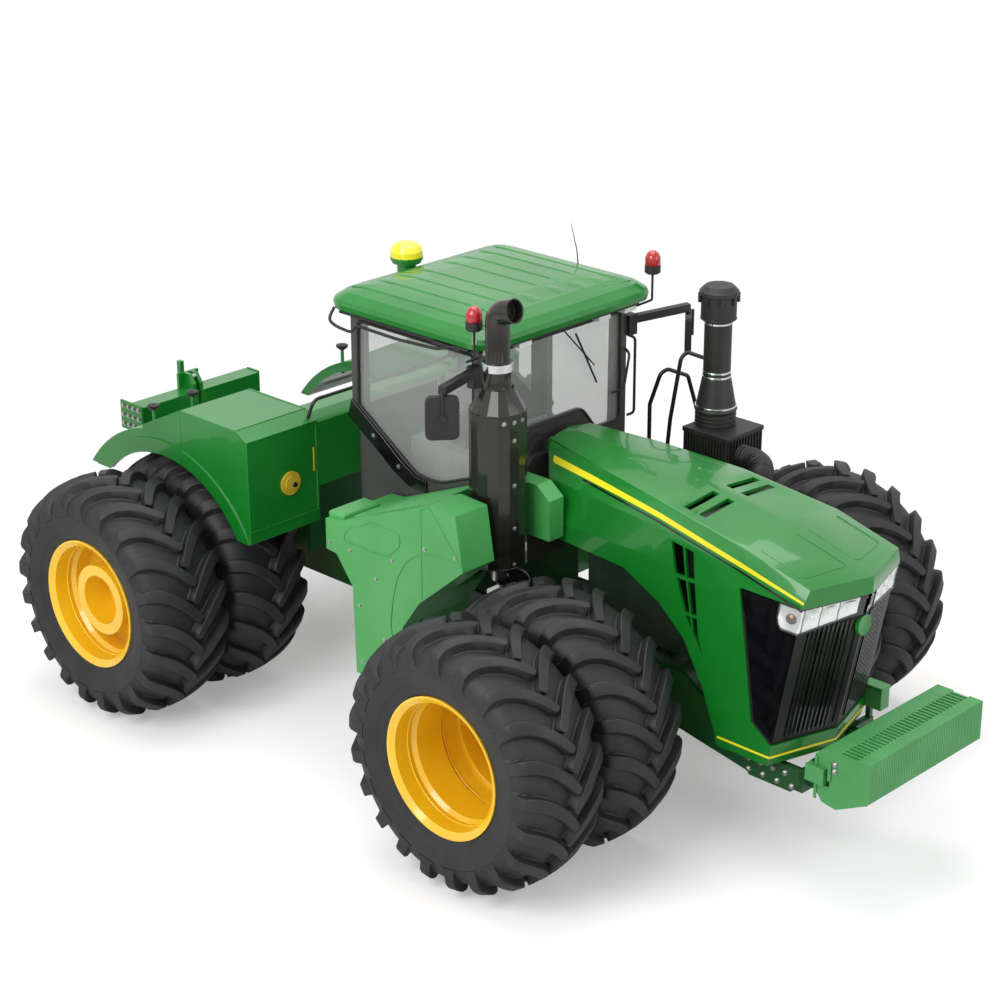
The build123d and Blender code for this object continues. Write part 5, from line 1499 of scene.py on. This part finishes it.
# ------------------------------------------------------------------ weights and frame
@dataclass
class WeightStack:
    """Row of suitcase weights, each a cast plate with a grip slot in its top.

    Attributes:
        count: Number of weights.
        half: Half the stack's width.
        outline: Rows of x and z.
        slot: The grip slot: its start and end in x, and its foot.
    """

    count: int = 32
    half: float = 0.665
    outline: Array = field(default_factory=lambda: rows((3.925, 1.220), (4.055, 1.220), (4.190, 1.220),
        (4.298, 1.220), (4.298, 0.928), (4.046, 0.802), (3.930, 0.820), (3.862, 0.905), (3.862, 0.945),
        (3.9853, 0.945), (3.9853, 1.080), (3.862, 1.080), (3.862, 1.160)))
    slot: tuple[float, float, float] = (4.055, 4.190, 1.180)

    def build(self) -> None:
        """Plates in pairs: a whole one, and a slotted one beside it."""
        a, b, foot = self.slot
        slotted = np.vstack([self.outline[:2], rows((a, foot), (b, foot)), self.outline[2:]])
        pitch = 2 * self.half / self.count
        plates = []
        for i in range(self.count):
            y = -self.half + pitch * i
            plates.append(prism(self.outline, 1, y, y + pitch * 0.46))
            plates.append(prism(slotted, 1, y + pitch * 0.47, y + pitch * 0.97))
        # the weights' green is made paler as painted light
        whole = put("suitcase_weights", gather(plates), CAST_PAINTED_LIGHT, bevel=0.0022)
        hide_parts("front_weights")
        ends = []
        for side in (-1, 1):
            ends.append(box((3.80, side * 0.640, 0.957), (3.955, side * 0.70, 1.078)))
            ends.append(box((3.972, side * 0.664, 1.00), (4.000, side * 0.680, 1.13)))
            ends.append(box((3.862, side * 0.664, 0.83), (3.885, side * 0.676, 1.15)))
        put("weight_end_brackets", gather(ends), CAST_PAINTED_LIGHT, bevel=0.004)
        heads = rows((4.025, 0.668, 1.135), (4.025, 0.668, 1.085))
        put("weight_bolts", bolts(heads, (0, 1, 0), 0.030, 0.016).both(), ZINC)


@dataclass
class FrameDress:
    """Bolted plates on the front frame, small boxes, hoses and steps' grip.

    Attributes:
        plate: Outline of the bolted plate on each side of the front frame, rows of x and z.
    """

    plate: Array = field(default_factory=lambda: rows(
        (3.050, 0.800), (3.050, 0.690), (3.110, 0.622), (3.470, 0.622), (3.535, 0.690), (3.535, 0.800)))

    def build(self) -> None:
        """Plates and their bolts, the box by the chin, and hydraulic hoses at the pin."""
        put("front_frame_plates", prism(self.plate, 1, 0.3805, 0.402).both(), CHASSIS, bevel=0.008)
        low = np.stack([np.linspace(3.10, 3.48, 4), np.full(4, 0.402), np.full(4, 0.660)], -1)
        high = np.stack([np.linspace(3.10, 3.42, 4), np.full(4, 0.402), np.full(4, 0.745)], -1)
        put("front_frame_bolts", bolts(np.vstack([low, high]), (0, 1, 0), 0.034, 0.018).both(), ZINC)
        side_box = box((3.36, 0.556, 0.905), (3.53, 0.66, 1.075))
        side_box += box((3.355, 0.556, 1.055), (3.535, 0.665, 1.085))
        put("front_side_box", side_box, CAST_PAINTED_LIGHT, bevel=0.006)
        support = box((3.36, 0.34, 0.76), (3.42, 0.64, 0.80)) + box((3.37, 0.60, 0.78), (3.41, 0.64, 0.92))
        put("side_box_arm", support, CHASSIS, bevel=0.004)
        hoses = []
        for i in range(4):
            y = -0.20 + 0.13 * i
            run = ((0.22, y, 1.24), (0.05, y, 1.36), (-0.15, y, 1.36), (-0.235, y, 1.24))
            hoses.append(bent_tube(run, 0.014, 0.12, 10))
        put("articulation_hoses", gather(hoses), BLACK, smooth=60)
        treads = []
        for i in range(3):
            z, outer = 0.860 + 0.27 * i, 1.480 - 0.06 * i
            for j in range(5):
                y = outer - 0.25 + 0.05 * j
                treads.append(box((0.135, y, z), (0.625, y + 0.022, z + 0.007)))
        for j in range(11):
            y = 0.87 + 0.055 * j
            treads.append(box((-0.05, y, 1.640), (1.11, y + 0.024, 1.646)))
        put("step_grips", gather(treads), CHASSIS, bevel=0.002)


@dataclass
class SkirtDress:
    """Raised edges, arch line and bolts on the right platform's outer face, at y = -1.5.

    Attributes:
        pocket: Outline of the pressed pocket, rows of x and z.
        arch: Line of the pressed arch, rows of x and z.
        heads: Bolts, rows of x and z.
        deck: Rear and front end of the sloping deck, x and z of each.
    """

    pocket: Array = field(default_factory=lambda: rows(
        (0.163, 1.984), (0.419, 2.105), (0.716, 2.103), (0.730, 2.010), (0.596, 1.883), (0.116, 1.876)))
    arch: Array = field(default_factory=lambda: rows((0.660, 1.150), (0.610, 1.330), (0.640, 1.560),
        (0.694, 1.760), (0.800, 1.920), (0.925, 2.001), (1.100, 2.045), (1.345, 2.050)))
    heads: Array = field(default_factory=lambda: rows((-0.030, 1.818), (0.191, 1.811), (0.642, 1.866),
        (0.463, 1.667), (0.979, 2.059), (1.290, 2.079), (0.280, 1.400), (0.540, 1.200), (0.300, 0.950)))
    deck: tuple[tuple[float, float], tuple[float, float]] = ((0.088, 2.018), (1.033, 2.407))

    def line(self, points: Array, closed: bool, width: float) -> Shell:
        """Low raised line on the skirt's face.

        Args:
            points: Rows of x and z.
            closed: Whether the line is a loop.
            width: Half its width.

        Returns:
            The line as a tube, half sunk in the face.
        """
        path = at_y(points, -1.5005)
        if closed:
            path = np.vstack([path, path[:2]])
        path = rounded_path(path, 0.05)
        return tube(path[4:] if closed else path, width, 6, (0.05, 0.97, 0.1))

    def build(self) -> None:
        """Lines, panel seam, bolts, deck grips and the box behind the deck."""
        lines = [self.line(self.pocket, True, 0.0055), self.line(self.arch, False, 0.0055),
                 self.line(rows((0.948, 2.352), (0.946, 1.66)), False, 0.004),
                 self.line(rows((0.948, 2.352), (1.033, 2.397)), False, 0.004),
                 self.line(rows((1.033, 2.397), (1.360, 2.020)), False, 0.004)]
        put("skirt_pressings", gather(lines), PANEL_PAINTED_LIGHT, smooth=60)
        places = at_y(self.heads, -1.500)
        put("skirt_bolts", bolts(places, (0, -1, 0), 0.026, 0.010), ZINC)
        pads = []
        (x0, z0), (x1, z1) = self.deck
        for i in range(12):
            x = 0.14 + 0.068 * i
            z = z0 + (x - x0) * (z1 - z0) / (x1 - x0)
            pads.append(box((x, -1.40, z + 0.002), (x + 0.03, -0.90, z + 0.010)))
        put("deck_grips", gather(pads), PANEL_PAINTED_LIGHT, bevel=0.002)
        small = box((-0.075, -1.47, 1.86), (0.10, -1.10, 2.055))
        put("deck_rear_box", small, PANEL_PAINTED_LIGHT, bevel=0.02)


@dataclass
class TankDress:
    """Seams, handrail, cap details and rear fittings of the tank and hitch."""

    def build(self) -> None:
        """Seams first, then the rail, the cap and the hitch."""
        seams = []
        for side in (-1, 1):
            y, inner, outer = side * 0.80, side * 0.79, side * 1.502
            upright = ((-0.944, y, 1.62), (-0.944, y, 2.33), (-1.06, y, 2.431), (-1.73, y, 2.431))
            low = ((-0.944, inner, 1.62), (-0.944, outer, 1.62))
            middle = ((-0.944, inner, 2.361), (-0.944, outer, 2.361))
            high = ((-1.07, inner, 2.431), (-1.07, outer, 2.431))
            for points in (upright, low, middle, high):
                seams.append(bent_tube(points, 0.004, 0.02, 6))
        put("tank_seams", gather(seams), GREEN, Body.REAR, smooth=60)
        rail = bent_tube(((-0.990, -0.84, 2.37), (-0.955, -0.80, 2.53), (-0.945, 0.0, 2.53),
            (-0.955, 0.80, 2.53), (-0.990, 0.84, 2.37)), 0.014, 0.06)
        put("tank_handrail", rail, BLACK, Body.REAR, smooth=60)
        lock = turned(rows((0.0, 0.0), (0.0, 0.022), (0.006, 0.020), (0.006, 0.0)),
            (-0.9195, -1.052, 1.905), 0, 16)
        put("tank_cap_lock", lock, BLACK, Body.REAR)
        gauge = box((-0.9445, -0.835, 1.95), (-0.938, -0.825, 2.15))
        put("tank_level_gauge", gauge, CAP, Body.REAR)
        ends = box((-3.60, -0.690, 1.60), (-3.30, -0.6703, 1.86))
        ends += box((-3.53, 0.6703, 1.63), (-3.37, 0.690, 1.83))
        put("coupler_end_plates", ends, GREEN, Body.COUPLER, bevel=0.008)
        u, v = np.meshgrid((-3.555, -3.485, -3.415, -3.345), (1.655, 1.735, 1.815), indexing="ij")
        places = np.stack([u.ravel(), np.full(u.size, -0.690), v.ravel()], -1)
        put("coupler_bolts", bolts(places, (0, -1, 0), 0.036, 0.016), ZINC, Body.COUPLER)
        pin = rows((-0.05, 0.0), (-0.05, 0.028), (0.05, 0.028), (0.05, 0.0))
        knob = turned(pin, (-3.45, 0.0, 1.925), 1, 24)
        put("top_pin", knob, ZINC, Body.COUPLER, smooth=40)
        valves = [box((-2.53, y - 0.06, 1.20), (-2.37, y + 0.06, 1.42)) for y in (-0.22, 0.22)]
        put("remote_valves", gather(valves), BLACK, Body.REAR, bevel=0.006)


# ------------------------------------------------------------------ studio
@dataclass
class Studio:
    """Plain pale floor, soft lamps and the camera.

    Attributes:
        azimuth: Camera's bearing round the machine, in degrees; 0 looks along +Y.
        elevation: Camera's height above the horizon, in degrees.
        focal_px: Focal length over an image 1000 pixels wide.
        eye: The camera's place, about the articulation pin.
        roll: Turn of the image, in degrees.
        floor_radius: Radius of the floor's disc.
        fade: Where the floor starts to fade to white, and where it is white.
        soft_light: Strength of the world as light.
        floor_glow: The floor's own glow, which lifts it to near white.
        lamps: Name, place, width and power of each lamp.
    """

    azimuth: float = 43.99
    elevation: float = 22.02
    focal_px: float = 2400.3
    eye: tuple[float, float, float] = (12.279, -12.403, 8.781)
    roll: float = 0.17
    floor_radius: float = 40
    fade: tuple[float, float] = (4.2, 7.5)
    soft_light: float = 0.62
    floor_glow: float = 0.30
    lamps: tuple[tuple[str, tuple[float, float, float], float, float], ...] = (
        ("key_lamp", (1.5, -11.0, 9.0), 7.0, 900),
        ("top_lamp", (-1.0, 1.0, 13.0), 9.0, 700),
        ("fill_lamp", (12.0, 3.0, 6.0), 7.0, 260))

    def camera(self) -> None:
        """Camera at the eye, looking down by the elevation."""
        data = bpy.data.cameras.new("studio_camera")
        data.sensor_width = 36.0
        data.lens = 36.0 * self.focal_px / 1000
        data.clip_end = 200
        camera = bpy.data.objects.new("studio_camera", data)
        camera.location = Vector(self.eye) + Vector(PIN_TO_ORIGIN)
        camera.rotation_euler = (math.radians(90 - self.elevation), math.radians(self.roll),
                                 math.radians(self.azimuth))
        bpy.context.scene.collection.objects.link(camera)
        bpy.context.scene.camera = camera

    def lamp(self, name: str, place: Sequence[float], size: float, power: float) -> None:
        """Square area lamp that looks at the machine's middle.

        Args:
            name: The lamp's name.
            place: Where it stands.
            size: Its width.
            power: Its power, in watts.
        """
        data = bpy.data.lights.new(name, "AREA")
        data.size = size
        data.energy = power
        lamp = bpy.data.objects.new(name, data)
        lamp.location = place
        lamp.rotation_euler = (Vector((0, 0, 1.2)) - Vector(place)).to_track_quat("-Z", "Y").to_euler()
        bpy.context.scene.collection.objects.link(lamp)

    def world(self) -> None:
        """World that is white to the camera and in gloss and glass, and a plain soft grey as light."""
        world = bpy.data.worlds.new("studio_world")
        bpy.context.scene.world = world
        tree = fresh_tree(world)
        ray = add(tree, "ShaderNodeLightPath")
        seen = ray.outputs["Is Camera Ray"]
        for kind in ("Is Glossy Ray", "Is Transmission Ray"):
            most = add(tree, "ShaderNodeMath", {"operation": "MAXIMUM"}, {0: seen, 1: ray.outputs[kind]})
            seen = most.outputs[0]
        soft = add(tree, "ShaderNodeBackground", {"Color": (1, 1, 1, 1), "Strength": self.soft_light})
        white = add(tree, "ShaderNodeBackground", {"Color": (1, 1, 1, 1), "Strength": 1.0})
        mix = add(tree, "ShaderNodeMixShader", links={"Fac": seen, 1: soft.outputs[0], 2: white.outputs[0]})
        add(tree, "ShaderNodeOutputWorld", links={"Surface": mix.outputs[0]})

    def floor(self) -> None:
        """Wide floor disc: it keeps the machine's shadow and fades to white round it."""
        angle = round_angles(64)
        points = np.stack([self.floor_radius * np.cos(angle), self.floor_radius * np.sin(angle),
                           np.full(64, -0.002)], -1)
        mesh = bpy.data.meshes.new("studio_floor")
        mesh.from_pydata(points.tolist(), [], [tuple(range(64))])
        material = bpy.data.materials.new("pale_floor_paint")
        tree = fresh_tree(material)
        plain = add(tree, "ShaderNodeBsdfDiffuse", {"Color": (0.80, 0.80, 0.80, 1)})
        glow = add(tree, "ShaderNodeEmission", {"Color": (1, 1, 1, 1), "Strength": self.floor_glow})
        both = add(tree, "ShaderNodeAddShader", links={0: plain.outputs[0], 1: glow.outputs[0]})
        place = add(tree, "ShaderNodeTexCoord").outputs["Object"]
        reach = add(tree, "ShaderNodeVectorMath", {"operation": "LENGTH"}, {"Vector": place})
        away = add(tree, "ShaderNodeMapRange", {"From Min": self.fade[0], "From Max": self.fade[1],
                                                   "interpolation_type": "SMOOTHSTEP"},
                   {"Value": reach.outputs["Value"]})
        white = add(tree, "ShaderNodeEmission", {"Color": (1, 1, 1, 1), "Strength": 1.0})
        seen = add(tree, "ShaderNodeMixShader",
                   links={"Fac": away.outputs["Result"], 1: both.outputs[0], 2: white.outputs[0]})
        ray = add(tree, "ShaderNodeLightPath")
        mix = add(tree, "ShaderNodeMixShader",
                  links={"Fac": ray.outputs["Is Camera Ray"], 1: plain.outputs[0], 2: seen.outputs[0]})
        add(tree, "ShaderNodeOutputMaterial", links={"Surface": mix.outputs[0]})
        mesh.materials.append(material)
        floor = bpy.data.objects.new("studio_floor", mesh)
        bpy.context.scene.collection.objects.link(floor)

    def build(self) -> None:
        """Camera, lamps, world and floor."""
        self.camera()
        for lamp in self.lamps:
            self.lamp(*lamp)
        self.world()
        self.floor()
        bpy.context.scene.view_settings.view_transform = "Standard"


# ------------------------------------------------------------------ carried-over nodes
# engine_block gets a green darkened as painted shade
# side_platforms get the green made paler as painted light
NODE_FINISH: dict[str, Finish] = {"air_intake": ABS, "cab_controls": TRIM, "cab_frame": CAB_GREY,
    "cab_glass": GLASS, "cab_roof": GREEN, "door_frame": CAB_GREY, "door_glass": GLASS,
    "drive_shaft": CHASSIS, "engine_block": ENGINE_PAINTED_SHADE, "exhaust_stack": SHIELD, "front_axle": CHASSIS,
    "front_frame": CHASSIS, "front_weights": CAST_PAINTED_LIGHT, "globe_dome": DOME, "grille": SCREEN,
    "headlamps": GLOSS_BLACK, "hitch_links": GREEN, "hood": GREEN, "lift_barrels": CHASSIS,
    "lift_rods": STEEL, "quick_coupler": GREEN, "rear_axle": CHASSIS, "rear_fenders": GREEN,
    "rear_frame": CHASSIS, "rear_tank": GREEN, "roof_lamps": WHITE_LENS, "seat_base": TRIM,
    "seat_cushions": CLOTH, "side_platforms": PANEL_PAINTED_LIGHT, "top_link": STEEL, "handrails": BLACK, "mirrors": ABS,
    "beacons": ABS, "position_globe": GREEN, "rear_lamps": ABS, "tank_cap": CAP}


@dataclass
class CarriedNodes:
    """The CAD nodes whose shape is right: they get their finish and softly rounded edges.

    Attributes:
        rounding: Edge rounding by node, in metres.
    """

    rounding: dict[str, float] = field(default_factory=lambda: {"hood": 0.006, "rear_tank": 0.008,
        "rear_fenders": 0.006, "side_platforms": 0.006, "cab_frame": 0.006, "door_frame": 0.004,
        "quick_coupler": 0.004, "hitch_links": 0.005, "exhaust_stack": 0.004, "front_frame": 0.004,
        "cab_controls": 0.008, "seat_base": 0.006, "mirrors": 0.004})

    def finish_for(self, node: str) -> Finish:
        """The finish of a node, by its name or by what kind of piece it is.

        Args:
            node: The node's name.

        Returns:
            Its finish.
        """
        if node in NODE_FINISH:
            return NODE_FINISH[node]
        for start, finish in (("tyres", RUBBER), ("rims", YELLOW), ("steer_barrel", CHASSIS),
                ("steer_rod", STEEL)):
            if node.startswith(start):
                return finish
        return CHASSIS

    def build(self) -> None:
        """Give every node its material, and weld, clean and round the edges of the large ones."""
        for name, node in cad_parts.items():
            material = FINISHES(self.finish_for(name))
            if node.data.materials:
                for i in range(len(node.data.materials)):
                    node.data.materials[i] = material
            else:
                node.data.materials.append(material)
            width = self.rounding.get(name)
            if width:
                weld = node.modifiers.new("weld", "WELD")
                weld.merge_threshold = WELD_DISTANCE
                flat = node.modifiers.new("flat", "DECIMATE")
                flat.decimate_type = "DISSOLVE"
                flat.angle_limit = math.radians(FLAT_DEGREES)
                soften(node, width)
        LOG.info("dressed %d nodes", len(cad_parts))


def main() -> None:
    """Dress the frame, build every sub-assembly in order and set the studio."""
    CarriedNodes().build()
    for end, axle in (("front", 1.956), ("rear", -1.956)):
        for side in SIDES:
            DualWheel(end, side, axle).build()
    HoodDress().build()
    RoofDress().build()
    CabDress().build()
    SeatCushions().build()
    StackDress().build()
    WeightStack().build()
    FrameDress().build()
    SkirtDress().build()
    TankDress().build()
    Studio().build()


if __name__ == "__main__":
    main()
